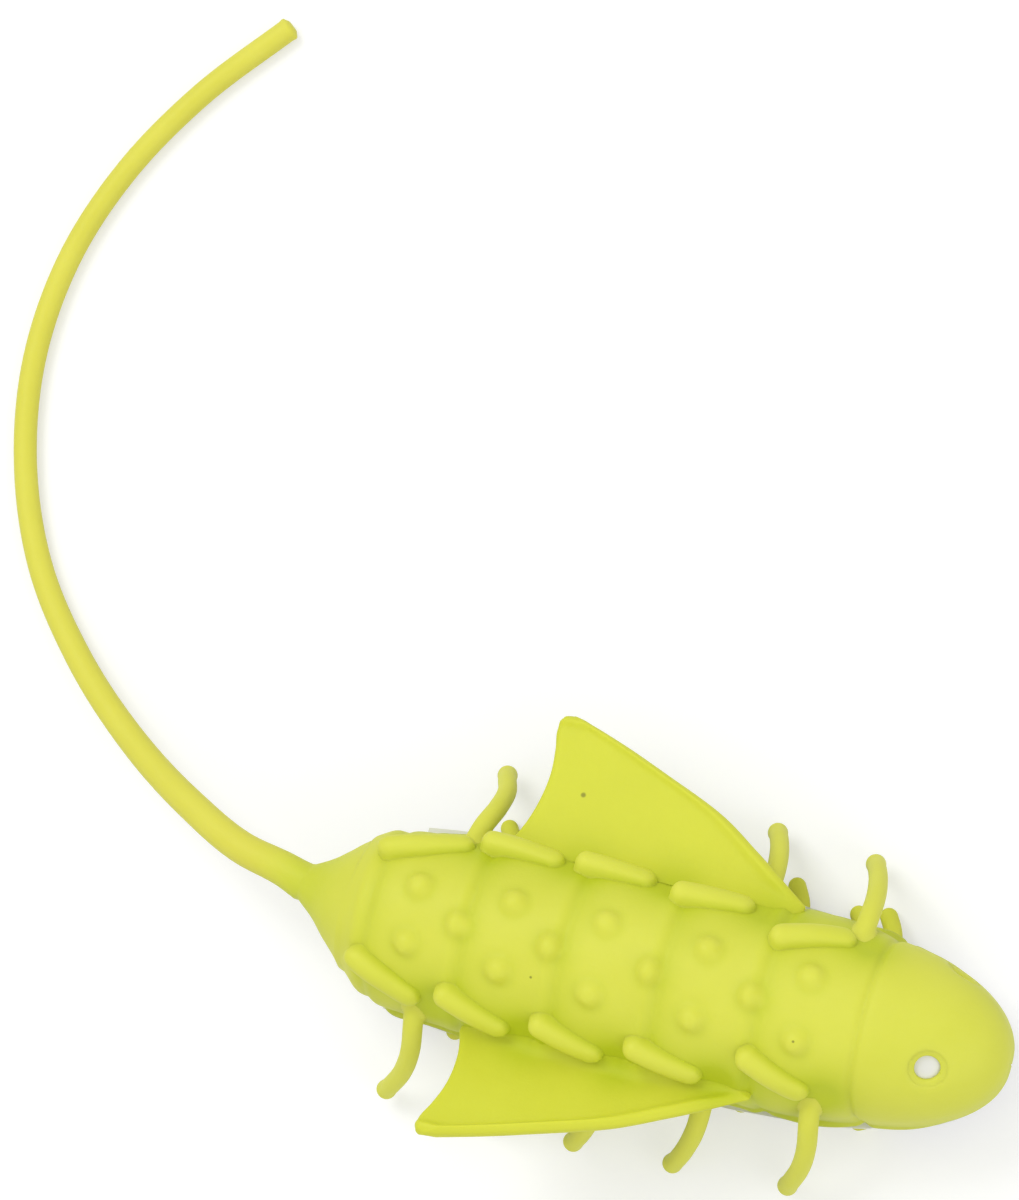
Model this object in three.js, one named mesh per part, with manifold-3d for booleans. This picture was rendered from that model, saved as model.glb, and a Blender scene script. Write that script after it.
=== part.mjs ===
// Vibrating bug toy: a soft rubber bug skin, with wings and a long tail, pulled over a hard
// two part capsule that holds a button cell, a small motor and an eccentric weight.
// Millimetres. X runs from the tail root to the nose, Y to the bug's left, Z up from the floor.
import * as THREE from 'three';
import { LoftGeometry } from 'three/addons/geometries/LoftGeometry.js';
import { mergeVertices } from 'three/addons/utils/BufferGeometryUtils.js';
import Module from 'manifold-3d';

const wasm = await Module();
wasm.setup();

// Fits
const fitGap = 0.3;
const runGap = 0.3;
const cutOverrun = 2;

// Button cell, motor and weight, which set the size of the capsule
const cellDiameter = 11.6;
const cellHeight = 5.4;
const cellCanHeight = 3.9;
const cellCanCrimp = 0.5;
const motorDiameter = 6;
const motorLength = 10;
const motorShaftDiameter = 0.8;
const weightRadius = 2.7;
const weightLength = 3.2;
const weightHubRadius = 1.2;

// Walls
const skinWall = 0.9;
const capsuleWall = 0.7;
const bulkheadThickness = 0.8;
const bellyPlateThickness = 1;

// Lengths of the bays along the body, rear to front
const tailConeLength = 6.9;
const switchBayLength = 10;
const screwBayLength = 4;
const weightGap = 0.8;
const noseBayLength = 8.45;

// Heights over the floor
const bellyHeight = 3;
const rimThickness = 1;
const axisHeight = 9;
const crownHeight = 16.8;
const wingRootHeight = 11.2;

// Skin relief
const creaseLift = 0.22;
const creaseStep = 0.3;
const creaseRun = 1.7;
const bumpRadius = 1.05;
const bumpProud = 0.75;
const bumpRowOffset = 2.78;
const ridgeRadius = 0.85;
const ridgeProud = 1;
const eyeHoleRadius = 1.05;
const eyeLipRadius = 2;
const eyeLipWidth = 0.42;
const eyeDomeRadius = 0.75;
const eyeDomeDepth = 0.7;

// Hooked side legs
const hookRadius = 0.82;
const hookTipRadius = 0.74;
const hookReach = 13.85;
const hookStartHeight = 9.2;
const hookTipHeight = 1.3;
const hookSweeps = { left: 2.5, right: 3.1 };

// Wings
const wingSpan = 10.6;
const wingRootStart = 16.2;
const wingRootLength = 24;
const wingThickness = 0.9;
const wingBeadRadius = 0.68;
const wingHingeRadius = 0.62;
const wingAxisInset = 0.1;
const wingLiftAngles = { left: THREE.MathUtils.degToRad(-8), right: THREE.MathUtils.degToRad(40) };
const wingSweeps = { left: 0.7, right: -0.5 };

// Tail
const tailReach = 68;
const tailRootRadius = 1.38;
const tailTipRadius = 0.96;
const tailBallRadius = 2.6;
const tailBallStation = 3.2;

// Driving legs
const stripWidth = 1.3;
const stripHeight = 1;
const stripSeat = 0.65;
const stripInset = 0.8;
const rimProud = 0.5;
const drivingLegRadius = 0.72;
const drivingLegOuts = { left: 2.2, right: 0.9 };
const drivingLegBack = 1.4;

// Motor inside
const motorCanWall = 0.45;
const motorWallThickness = 0.5;
const motorEndCapThickness = 1;
const motorFloorShare = 0.374;
const magnetThickness = 0.55;
const magnetLength = 6;
const rotorLength = 5.6;
const commutatorLength = 1.2;
const bushWall = 0.35;
const cradleWall = 1;
const clipThickness = 0.6;
const clipWidth = 3;

// Switch, board, door and screws
const contactGap = 0.1;
const contactThickness = 0.25;
const contactWidth = 1.8;
const contactOffset = 1.3;
const boardWidth = 7.6;
const boardThickness = 0.8;
const switchBodyLength = 4.8;
const switchBodyWidth = 4;
const switchTravel = 1.5;
const switchKnobLength = 1.6;
const switchKnobWidth = 1.8;
const switchKnobProud = 0.5;
const sliderFlange = 0.6;
const sliderFlangeHeight = 0.7;
const doorTabWidth = 4.4;
const doorTabThickness = 0.6;
const screwShankRadius = 0.55;
const screwClearance = 0.15;
const screwHeadRadius = 1.05;
const screwHeadHeight = 0.6;
const screwLength = 4.6;
const screwBossRadius = 1.35;
const screwSlotWidth = 0.3;
const screwSlotDepth = 0.3;
const leadRadius = 0.35;
const leadOffset = 3.1;

// Body size, worked out from its contents
const cellRadius = cellDiameter / 2;
const motorRadius = motorDiameter / 2;
const bodyHalfWidth = cellRadius + fitGap + capsuleWall + fitGap + skinWall;
const cellBayStart = tailConeLength + switchBayLength;
const contactRoom = contactThickness + 2 * contactGap;
const cellBayLength = contactRoom + cellDiameter + 2 * fitGap + 2 * bulkheadThickness;
const cellStation = cellBayStart + bulkheadThickness + contactRoom + fitGap + cellRadius;
const cellBayEnd = cellBayStart + cellBayLength;
const motorStart = cellBayEnd + screwBayLength;
const motorEnd = motorStart + motorLength;
const weightStart = motorEnd + weightGap;
const weightEnd = weightStart + weightLength;
const bodyLength = weightEnd + weightGap + noseBayLength;
const plateTop = bellyHeight + bellyPlateThickness;
const rimTop = bellyHeight + rimThickness;
const hemHeight = rimTop + fitGap;
const crownRise = crownHeight - axisHeight;
const keelDrop = axisHeight - bellyHeight;

// Shape of the body as shares: along the length, half width, crown rise and keel drop
const tailShapeShares = [
  [0.0, 0.2, 0.21, 0.26],
  [0.027, 0.34, 0.33, 0.42],
  [0.05, 0.5, 0.48, 0.62],
  [0.07, 0.62, 0.6, 0.76],
  [0.09, 0.74, 0.71, 0.88],
  [0.118, 0.86, 0.83, 0.97],
  [0.18, 0.92, 0.9, 1.0],
  [0.27, 0.97, 0.96, 1.0],
  [0.4, 1.0, 1.0, 1.0],
  [0.63, 1.0, 0.98, 1.0],
  [0.75, 0.95, 0.935, 1.0],
  [0.812, 0.885, 0.89, 1.0],
];
const headStartShare = 0.812;
const creaseShares = [0.122, 0.262, 0.4, 0.538, 0.674, 0.812];
const sideBumpShares = [0.189, 0.323, 0.453, 0.594, 0.735];
const middleBumpShares = [0.258, 0.387, 0.527, 0.667];
const ridgeRearShares = [0.124, 0.251, 0.384, 0.521, 0.671];
const ridgeFrontShares = [0.218, 0.344, 0.479, 0.616, 0.761];
const ridgeRearAngleShares = [0.205, 0.27, 0.289, 0.264, 0.2];
const ridgeFrontAngleShares = [0.275, 0.326, 0.333, 0.321, 0.296];
const hookStartShares = {
  left: [0.219, 0.349, 0.49, 0.627, 0.772],
  right: [0.197, 0.332, 0.469, 0.608, 0.755],
};
const drivingLegShares = [0.214, 0.317, 0.42, 0.524, 0.628, 0.717, 0.776];
const eyeStationShare = 0.9075;
const eyeAngles = { right: THREE.MathUtils.degToRad(-20), left: THREE.MathUtils.degToRad(84) };
const tailTaperShare = 0.52;

// Steps of the curved surfaces
const ringSides = 24;
const liningSides = 20;
const tubeSides = 6;
const roundSides = 16;

function solid(geometry) {
  const bare = geometry.index ? geometry.toNonIndexed() : geometry.clone();
  bare.deleteAttribute('normal');
  bare.deleteAttribute('uv');
  const merged = mergeVertices(bare);
  return new wasm.Manifold(new wasm.Mesh({
    numProp: 3,
    vertProperties: new Float32Array(merged.attributes.position.array),
    triVerts: new Uint32Array(merged.index.array),
  }));
}

function geometryOf(body) {
  const mesh = body.getMesh();
  const geometry = new THREE.BufferGeometry();
  geometry.setAttribute('position', new THREE.BufferAttribute(mesh.vertProperties, 3));
  geometry.setIndex(new THREE.BufferAttribute(mesh.triVerts, 1));
  geometry.computeVertexNormals();
  return geometry;
}

function joined(solids) {
  return solids.reduce((whole, piece) => whole.add(piece));
}

// A straight round bar between two heights along Z, about the point given
function uprightBar(x, y, low, high, radius, sides = roundSides) {
  const bar = new THREE.CylinderGeometry(radius, radius, high - low, sides);
  bar.rotateX(Math.PI / 2);
  bar.translate(x, y, (low + high) / 2);
  return solid(bar);
}

// A round bar along X
function lengthwiseBar(start, end, y, z, radius, sides = roundSides) {
  const bar = new THREE.CylinderGeometry(radius, radius, end - start, sides);
  bar.rotateZ(Math.PI / 2);
  bar.translate((start + end) / 2, y, z);
  return solid(bar);
}

function block(xLow, xHigh, yLow, yHigh, zLow, zHigh) {
  const box = new THREE.BoxGeometry(xHigh - xLow, yHigh - yLow, zHigh - zLow);
  box.translate((xLow + xHigh) / 2, (yLow + yHigh) / 2, (zLow + zHigh) / 2);
  return solid(box);
}

// A ball, or with a pinch below one a flattened dome
function ball(x, y, z, radius, sides = 12, rings = 8) {
  const sphere = new THREE.SphereGeometry(radius, sides, rings);
  sphere.rotateX(Math.PI / 2);
  sphere.translate(x, y, z);
  return solid(sphere);
}

// A tube along a curve whose radius runs from one value to another over a share of its length
function taperedTube(points, startRadius, endRadius, steps, sides = tubeSides, taperShare = 1) {
  const curve = new THREE.CatmullRomCurve3(points, false, 'centripetal');
  const frames = curve.computeFrenetFrames(steps);
  const sections = [];
  for (let i = 0; i <= steps; i++) {
    const share = i / steps;
    const centre = curve.getPointAt(share);
    const radius = THREE.MathUtils.lerp(startRadius, endRadius, Math.min(1, share / taperShare));
    const ring = [];
    for (let j = 0; j < sides; j++) {
      const angle = (2 * Math.PI * j) / sides;
      ring.push(centre.clone()
        .addScaledVector(frames.normals[i], radius * Math.cos(angle))
        .addScaledVector(frames.binormals[i], radius * Math.sin(angle)));
    }
    sections.push(ring);
  }
  return solid(new LoftGeometry(sections, { capStart: true, capEnd: true }));
}

// Half width, crown rise and keel drop as shares at a share of the length
function shapeAt(share) {
  if (share >= headStartShare) {
    const last = tailShapeShares[tailShapeShares.length - 1];
    const along = Math.min(1, (share - headStartShare) / (1 - headStartShare));
    const round = Math.sqrt(Math.max(0, 1 - along * along));
    const blunt = Math.sqrt(Math.max(0, 1 - along ** 4));
    return [last[1] * round, last[2] * round, last[3] * blunt];
  }
  const next = tailShapeShares.findIndex((row) => row[0] > share);
  const after = tailShapeShares[next];
  const before = tailShapeShares[next - 1];
  const t = (share - before[0]) / (after[0] - before[0]);
  return [1, 2, 3].map((k) => THREE.MathUtils.lerp(before[k], after[k], t));
}

// Each ring crease is a band that swells towards the head and then steps down
function creaseRelief(x) {
  let relief = 0;
  for (const share of creaseShares) {
    const ahead = x - share * bodyLength;
    if (ahead <= 0 && ahead > -creaseRun) relief += creaseLift * (1 + ahead / creaseRun);
    if (ahead > 0 && ahead < creaseRun) relief -= (creaseStep - creaseLift) * (1 - ahead / creaseRun);
  }
  return relief;
}

// A ring of the body surface, drawn in by an inset; its lower half is nearly square
function bodyRing(share, inset, relief, sides) {
  const [widthShare, riseShare, dropShare] = shapeAt(share);
  const halfWidth = widthShare * (bodyHalfWidth - inset) + relief;
  const rise = riseShare * (crownRise - inset) + relief;
  const drop = dropShare * keelDrop;
  const square = THREE.MathUtils.lerp(1, 0.3, THREE.MathUtils.smoothstep(share, 0.02, 0.1));
  const x = share * (bodyLength - inset);
  const ring = [];
  for (let j = 0; j < sides; j++) {
    const angle = (2 * Math.PI * j) / sides;
    const across = Math.cos(angle);
    const up = Math.sin(angle);
    const power = up < 0 ? square : 1;
    const y = halfWidth * Math.sign(across) * Math.abs(across) ** power;
    const z = up < 0 ? -drop * Math.abs(up) ** power : rise * up;
    ring.push(new THREE.Vector3(x, y, axisHeight + z));
  }
  return ring;
}

// The body surface from one share of its length to the nose, as a closed solid
function bodyLoft(startShare, inset, withRelief) {
  const stations = new Set([startShare, 0.03, 0.06, 0.09, 0.18, 0.33, 0.47, 0.61, 0.75]);
  if (withRelief) {
    for (const share of creaseShares) {
      const run = creaseRun / bodyLength;
      for (const step of [-run, 0, 0.002, run]) stations.add(share + step);
    }
  }
  for (const along of [0, 0.25, 0.45, 0.62, 0.76, 0.87, 0.94, 0.98, 0.997]) {
    stations.add(headStartShare + (1 - headStartShare) * along);
  }
  const shares = [...stations].filter((share) => share >= startShare).sort((a, b) => a - b);
  const rings = shares.map((share) => {
    if (!withRelief) return bodyRing(share, inset, 0, liningSides);
    return bodyRing(share, inset, creaseRelief(share * bodyLength), ringSides);
  });
  return solid(new LoftGeometry(rings, { capStart: true, capEnd: true }));
}

// A point on the upper body surface at an angle from the crown, sunk or proud by an offset
function surfacePoint(share, angle, offset) {
  const [widthShare, riseShare] = shapeAt(share);
  const halfWidth = widthShare * bodyHalfWidth;
  const rise = riseShare * crownRise;
  const normal = new THREE.Vector3(0, Math.sin(angle) / halfWidth, Math.cos(angle) / rise).normalize();
  const point = new THREE.Vector3(
    share * bodyLength, halfWidth * Math.sin(angle), axisHeight + rise * Math.cos(angle));
  return point.addScaledVector(normal, offset);
}

// Round bumps in three rows along the back
function backBumps() {
  const bumps = [];
  const addBump = (share, y) => {
    const halfWidth = shapeAt(share)[0] * bodyHalfWidth;
    const centre = surfacePoint(share, Math.asin(y / halfWidth), bumpProud - bumpRadius);
    bumps.push(ball(centre.x, centre.y, centre.z, bumpRadius, 8, 6));
  };
  for (const share of sideBumpShares) {
    addBump(share, bumpRowOffset);
    addBump(share, -bumpRowOffset);
  }
  for (const share of middleBumpShares) addBump(share, 0);
  return bumps;
}

// Slanting oblong ridges along the flanks
function ridge(index, side) {
  const rearAngle = side * ridgeRearAngleShares[index] * Math.PI;
  const frontAngle = side * ridgeFrontAngleShares[index] * Math.PI;
  const sunk = ridgeProud - ridgeRadius;
  const rear = surfacePoint(ridgeRearShares[index], rearAngle, sunk);
  const front = surfacePoint(ridgeFrontShares[index], frontAngle, sunk);
  const middle = rear.clone().lerp(front, 0.5);
  const capsule = new THREE.CapsuleGeometry(ridgeRadius, rear.distanceTo(front) - 2 * ridgeRadius, 2, 8);
  const along = front.clone().sub(rear).normalize();
  capsule.applyQuaternion(new THREE.Quaternion().setFromUnitVectors(new THREE.Vector3(0, 1, 0), along));
  capsule.translate(middle.x, middle.y, middle.z);
  return solid(capsule);
}

// A hooked leg by the front end of each ridge
function hookedLeg(share, name) {
  const side = name === 'left' ? 1 : -1;
  const inner = shapeAt(share)[0] * bodyHalfWidth - skinWall / 2;
  const reach = hookReach - inner;
  const fall = hookStartHeight - hookTipHeight;
  // shares of the sweep back, of the reach outwards and of the fall
  const hookShares = [
    [0, 0, 0], [0.02, 0.28, 0.1], [0.16, 0.54, 0.3], [0.45, 0.77, 0.57], [0.75, 0.92, 0.81], [1, 1, 1],
  ];
  const points = hookShares.map(([back, out, down]) => new THREE.Vector3(
    share * bodyLength - back * hookSweeps[name], side * (inner + out * reach),
    hookStartHeight - down * fall));
  return taperedTube(points, hookRadius, hookTipRadius, 7);
}

function eyeFrame(angle) {
  const [widthShare, riseShare] = shapeAt(eyeStationShare);
  const along = (eyeStationShare - headStartShare) / (1 - headStartShare);
  const point = surfacePoint(eyeStationShare, angle, 0);
  const slope = along / (1 - along * along);
  const lean = slope * bodyHalfWidth * widthShare / (bodyLength * (1 - headStartShare));
  const normal = new THREE.Vector3(lean, Math.sin(angle) / widthShare * riseShare, Math.cos(angle));
  return { point, normal: normal.normalize() };
}

function barAlong(point, normal, from, to, radius, sides = roundSides) {
  const bar = new THREE.CylinderGeometry(radius, radius, to - from, sides);
  bar.translate(0, (from + to) / 2, 0);
  bar.applyQuaternion(new THREE.Quaternion().setFromUnitVectors(new THREE.Vector3(0, 1, 0), normal));
  bar.translate(point.x, point.y, point.z);
  return solid(bar);
}

// A low ring lip round each eye hole
function eyeLip(angle) {
  const { point, normal } = eyeFrame(angle);
  const lip = new THREE.TorusGeometry(eyeLipRadius - eyeLipWidth, eyeLipWidth, 6, 14);
  lip.applyQuaternion(new THREE.Quaternion().setFromUnitVectors(new THREE.Vector3(0, 0, 1), normal));
  lip.translate(point.x, point.y, point.z);
  return solid(lip);
}

// Where the capsule lies inside the skin
const capsuleInset = skinWall + fitGap;
const roomInset = capsuleInset + capsuleWall;
const cavityStart = tailBallStation + tailBallRadius + runGap + skinWall;
const capsuleStart = cavityStart + fitGap;
const roomStart = capsuleStart + capsuleWall;
const splitHeight = axisHeight - fitGap;
const wingAxisY = bodyHalfWidth - wingAxisInset;
const clipRadius = motorRadius + fitGap + clipThickness;
const roofHeight = axisHeight
  + shapeAt((motorStart + motorEnd) / 2 / bodyLength)[1] * (crownRise - roomInset);
const motorFloor = motorFloorShare * (roofHeight - plateTop - motorRadius - clipRadius);
const motorAxisHeight = plateTop + motorFloor + motorRadius;
const cellBase = plateTop + contactGap;
const cellTop = cellBase + cellHeight;
const contactPlane = cellTop + contactGap;
const boardBase = cellTop - boardThickness;
const bulkheadTop = boardBase - contactGap;
const rearScrewStation = roomStart + fitGap + screwBossRadius;
const doorScrewStation = cellBayEnd + screwBayLength / 2;
const frontScrewStation = weightEnd + weightGap + screwBossRadius + capsuleWall + 2 * fitGap;
const boardStart = rearScrewStation + screwBossRadius + fitGap;
const boardEnd = cellBayStart + bulkheadThickness / 2;
const switchStation = boardStart + switchBodyLength / 2;

function loftFrom(start, inset, withRelief = false) {
  return bodyLoft(start / (bodyLength - inset), inset, withRelief);
}

// The half width of the body at a place along it, seen from above
function halfWidthAt(x) {
  return shapeAt(x / bodyLength)[0] * bodyHalfWidth;
}

function skinSleeve() {
  const relief = [...backBumps(), eyeLip(eyeAngles.left), eyeLip(eyeAngles.right)];
  for (const side of [1, -1]) ridgeRearShares.forEach((_, index) => relief.push(ridge(index, side)));
  for (const [name, shares] of Object.entries(hookStartShares)) {
    for (const share of shares) relief.push(hookedLeg(share, name));
  }
  const inside = bodyHalfWidth + fitGap;
  const cuts = [
    loftFrom(cavityStart, skinWall),
    ball(tailBallStation, 0, axisHeight, tailBallRadius + runGap, 14, 10),
    block(-cutOverrun, bodyLength + cutOverrun, -inside, inside, -cutOverrun, hemHeight),
  ];
  for (const angle of Object.values(eyeAngles)) {
    const { point, normal } = eyeFrame(angle);
    cuts.push(barAlong(point, normal, -2 * skinWall, cutOverrun, eyeHoleRadius));
  }
  for (const side of [1, -1]) {
    cuts.push(lengthwiseBar(wingRootStart - runGap, wingRootStart + wingRootLength + runGap,
      side * wingAxisY, wingRootHeight, wingHingeRadius + runGap, 16));
  }
  return loftFrom(tailBallStation - fitGap, 0, true).add(joined(relief)).subtract(joined(cuts));
}

// Outline of a wing: shares of the root length along it, and of the span outwards
const wingOutlineShares = [
  [0, 0], [0.035, 0.25], [0.04, 0.55], [0.01, 0.86], [0.015, 0.95], [0.05, 1],
  [0.12, 0.96], [0.23, 0.88], [0.42, 0.72], [0.62, 0.545], [0.8, 0.32], [0.93, 0.12], [1, 0],
];

function wing(name) {
  const side = name === 'left' ? 1 : -1;
  const place = ([along, out]) => new THREE.Vector2(
    along * wingRootLength + out * wingSweeps[name], side * out * wingSpan);
  const plate = new THREE.ExtrudeGeometry(new THREE.Shape(wingOutlineShares.map(place)),
    { depth: wingThickness, bevelEnabled: false, steps: 1 });
  plate.translate(0, 0, -wingThickness / 2);
  const inset = wingBeadRadius / wingSpan;
  const leading = wingOutlineShares.slice(4).reverse().map(([along, out]) => {
    const flat = place([along - inset / 2, Math.max(out - inset, inset)]);
    return new THREE.Vector3(flat.x, flat.y, 0);
  });
  const bead = taperedTube(leading, wingBeadRadius, wingBeadRadius, 16);
  const hinge = lengthwiseBar(0, wingRootLength, 0, 0, wingHingeRadius, 12);
  const geometry = geometryOf(joined([solid(plate), bead, hinge]));
  geometry.rotateX(side * wingLiftAngles[name]);
  geometry.translate(wingRootStart, side * wingAxisY, wingRootHeight);
  return geometry;
}

// The tail's middle line: shares of its reach, rearwards, to the left, and of the root height
const tailRouteShares = [
  [0.02, 0, 1], [-0.03, 0.018, 0.985], [-0.09, 0.03, 0.9], [-0.18, 0.067, 0.7], [-0.284, 0.125, 0.4],
  [-0.387, 0.209, 0.2], [-0.462, 0.304, 0.138], [-0.517, 0.431, 0.127], [-0.541, 0.562, 0.122],
  [-0.529, 0.693, 0.117], [-0.487, 0.808, 0.112], [-0.423, 0.912, 0.109], [-0.323, 1.027, 0.107],
];

function tail() {
  const points = tailRouteShares.map(([back, left, up]) => new THREE.Vector3(
    back * tailReach, left * tailReach, up * axisHeight));
  const neckRear = tailBallStation - 2 * tailBallRadius;
  const neckFront = tailBallStation - tailBallRadius / 2;
  const neck = new THREE.CylinderGeometry(tailRootRadius + tailBallRadius / 3, tailRootRadius,
    neckFront - neckRear, 14);
  neck.rotateZ(-Math.PI / 2);
  neck.translate((neckFront + neckRear) / 2, 0, axisHeight);
  return geometryOf(joined([
    taperedTube(points, tailRootRadius, tailTipRadius, 36, 8, tailTaperShare),
    ball(tailBallStation, 0, axisHeight, tailBallRadius, 14, 10),
    solid(neck),
  ]));
}

// A rectangular strip that follows the body's edge under the rim
function edgeStrip(side, start, end, width, low, high) {
  const steps = 10;
  const rings = [];
  for (let i = 0; i <= steps; i++) {
    const x = THREE.MathUtils.lerp(start, end, i / steps);
    const middle = side * (halfWidthAt(x) - stripInset);
    rings.push([[1, -1], [1, 1], [-1, 1], [-1, -1]].map(([out, up]) => new THREE.Vector3(
      x, middle + out * width / 2, up > 0 ? high : low)));
  }
  return solid(new LoftGeometry(rings, { capStart: true, capEnd: true }));
}

const stripTop = bellyHeight + stripSeat - fitGap;
const stripStart = drivingLegShares[0] * bodyLength - 2 * drivingLegRadius + drivingLegBack;
const stripEnd = drivingLegShares[drivingLegShares.length - 1] * bodyLength
  + 2 * drivingLegRadius + drivingLegBack;

// Short driving legs slant back and out from their strip to flat feet on the floor
function legStrip(name) {
  const side = name === 'left' ? 1 : -1;
  const out = side * drivingLegOuts[name];
  const stripLow = stripTop - stripHeight;
  const pieces = [edgeStrip(side, stripStart, stripEnd, stripWidth, stripLow, stripTop)];
  for (const share of drivingLegShares) {
    const foot = share * bodyLength;
    const root = foot + drivingLegBack;
    const y = halfWidthAt(root) - stripInset;
    const slant = new THREE.Vector3(-drivingLegBack, out, -stripLow);
    const top = new THREE.Vector3(root, side * y, stripLow + drivingLegRadius / 2);
    const middle = new THREE.Vector3(root, side * y, stripLow).addScaledVector(slant, 0.45);
    const bottom = new THREE.Vector3(root, side * y, stripLow).addScaledVector(slant, 1.3);
    middle.y += out / 6;
    pieces.push(taperedTube([top, middle, bottom], drivingLegRadius, drivingLegRadius, 3));
  }
  const floorCut = block(0, bodyLength, -2 * bodyHalfWidth, 2 * bodyHalfWidth, -2 * cutOverrun, 0);
  return geometryOf(joined(pieces).subtract(floorCut));
}

// A pan head screw with a cross slot, its shank up along Z
function screw(x, y, length) {
  const headTop = bellyHeight - contactGap;
  const headLow = headTop - screwHeadHeight;
  const slotReach = screwHeadRadius * 0.65;
  const slotTop = headLow + screwSlotDepth;
  const slots = block(x - slotReach, x + slotReach, y - screwSlotWidth / 2, y + screwSlotWidth / 2,
    headLow - cutOverrun, slotTop).add(block(x - screwSlotWidth / 2, x + screwSlotWidth / 2,
    y - slotReach, y + slotReach, headLow - cutOverrun, slotTop));
  return geometryOf(uprightBar(x, y, headLow, headTop, screwHeadRadius, 18)
    .add(uprightBar(x, y, headLow + screwSlotDepth, headTop + length, screwShankRadius, 12))
    .subtract(slots));
}

function capsuleShell() {
  const room = loftFrom(roomStart, roomInset)
    .subtract(block(0, bodyLength, -bodyHalfWidth, bodyHalfWidth, 0, plateTop));
  return loftFrom(capsuleStart, capsuleInset).subtract(room);
}

const wideBlock = (low, high) => block(0, 2 * bodyLength, -2 * bodyHalfWidth, 2 * bodyHalfWidth, low, high);

function capsuleUpper() {
  const bosses = [rearScrewStation, frontScrewStation].map((x) => uprightBar(
    x, 0, plateTop + fitGap, crownHeight, screwBossRadius));
  const held = joined(bosses).intersect(loftFrom(capsuleStart, capsuleInset));
  const bores = [rearScrewStation, frontScrewStation].map((x) => uprightBar(
    x, 0, 0, plateTop + screwLength + 2 * fitGap, screwShankRadius + screwClearance, 14));
  const eyes = Object.values(eyeAngles).map((angle) => {
    const { point, normal } = eyeFrame(angle);
    const centre = point.clone().addScaledVector(normal, -eyeDomeDepth - eyeDomeRadius);
    return ball(centre.x, centre.y, centre.z, eyeDomeRadius, 12, 8)
      .add(barAlong(centre, normal, -eyeDomeRadius, 0, eyeDomeRadius, 12));
  });
  return geometryOf(capsuleShell().add(joined(eyes))
    .intersect(wideBlock(splitHeight + fitGap, crownHeight)).add(held).subtract(joined(bores)));
}

// The flat belly plate and the rim that the skin's hem stands over, as an outline seen from above
function bellyPlate() {
  const steps = 30;
  const edge = [];
  for (let i = 0; i <= steps; i++) {
    const share = THREE.MathUtils.lerp(capsuleStart / bodyLength, 1, Math.sin((i / steps) * Math.PI / 2));
    const proud = rimProud * (1 - THREE.MathUtils.smoothstep(share, 0.8, 0.87));
    const halfWidth = shapeAt(share)[0] * bodyHalfWidth + proud;
    edge.push(new THREE.Vector2(share * (bodyLength - capsuleInset), halfWidth));
  }
  const outline = [...edge, ...edge.slice(0, -1).reverse().map((p) => new THREE.Vector2(p.x, -p.y))];
  const plate = new THREE.ExtrudeGeometry(new THREE.Shape(outline),
    { depth: rimThickness, bevelEnabled: false, steps: 1 });
  plate.translate(0, 0, bellyHeight);
  return solid(plate);
}

const switchSlotLength = switchKnobLength + switchTravel + 2 * runGap;
const switchSlotStart = switchStation - switchSlotLength / 2;
const knobStart = switchSlotStart + runGap;
const doorRadius = cellRadius + contactGap;
const doorTabEnd = doorScrewStation + screwBossRadius;

function capsuleLower() {
  const wide = bodyHalfWidth - roomInset;
  const bulkhead = (x) => block(x, x + bulkheadThickness, -wide, wide, bellyHeight, bulkheadTop);
  const cradle = block(motorStart + fitGap, motorEnd - fitGap, -motorRadius - fitGap - cradleWall,
    motorRadius + fitGap + cradleWall, bellyHeight, motorAxisHeight);
  const frontBulkhead = cellBayEnd - bulkheadThickness;
  const inner = joined([
    bulkhead(cellBayStart), bulkhead(frontBulkhead), cradle,
    uprightBar(doorScrewStation, 0, bellyHeight, plateTop + screwLength, screwBossRadius),
    block(frontBulkhead, doorTabEnd, -doorTabWidth / 2, doorTabWidth / 2, bellyHeight,
      plateTop + doorTabThickness),
  ]).intersect(loftFrom(capsuleStart, capsuleInset));
  const cuts = [
    lengthwiseBar(motorStart - cutOverrun, motorEnd + cutOverrun, 0, motorAxisHeight,
      motorRadius + fitGap, 24),
    uprightBar(cellStation, 0, 0, plateTop + cutOverrun, doorRadius + fitGap, 32),
    uprightBar(cellStation, 0, plateTop, bulkheadTop + cutOverrun, cellRadius + fitGap, 32),
    block(cellStation, doorTabEnd + fitGap, -doorTabWidth / 2 - fitGap, doorTabWidth / 2 + fitGap,
      0, bellyHeight + doorTabThickness + fitGap),
    uprightBar(doorScrewStation, 0, 0, plateTop + screwLength, screwShankRadius + screwClearance, 14),
    uprightBar(rearScrewStation, 0, 0, plateTop + cutOverrun, screwShankRadius + screwClearance, 14),
    uprightBar(frontScrewStation, 0, 0, plateTop + cutOverrun, screwShankRadius + screwClearance, 14),
    block(switchSlotStart, switchSlotStart + switchSlotLength, -switchKnobWidth / 2 - runGap,
      switchKnobWidth / 2 + runGap, 0, plateTop + cutOverrun),
    block(cellBayStart + bulkheadThickness / 2, cellStation, contactOffset - contactWidth / 2 - contactGap,
      contactOffset + contactWidth / 2 + contactGap, plateTop, bulkheadTop + cutOverrun),
  ];
  for (const side of [1, -1]) {
    cuts.push(edgeStrip(side, stripStart - fitGap, stripEnd + fitGap, stripWidth + 2 * fitGap,
      0, bellyHeight + stripSeat));
  }
  return geometryOf(capsuleShell().intersect(wideBlock(0, splitHeight)).add(bellyPlate()).add(inner)
    .subtract(joined(cuts)));
}

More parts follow.
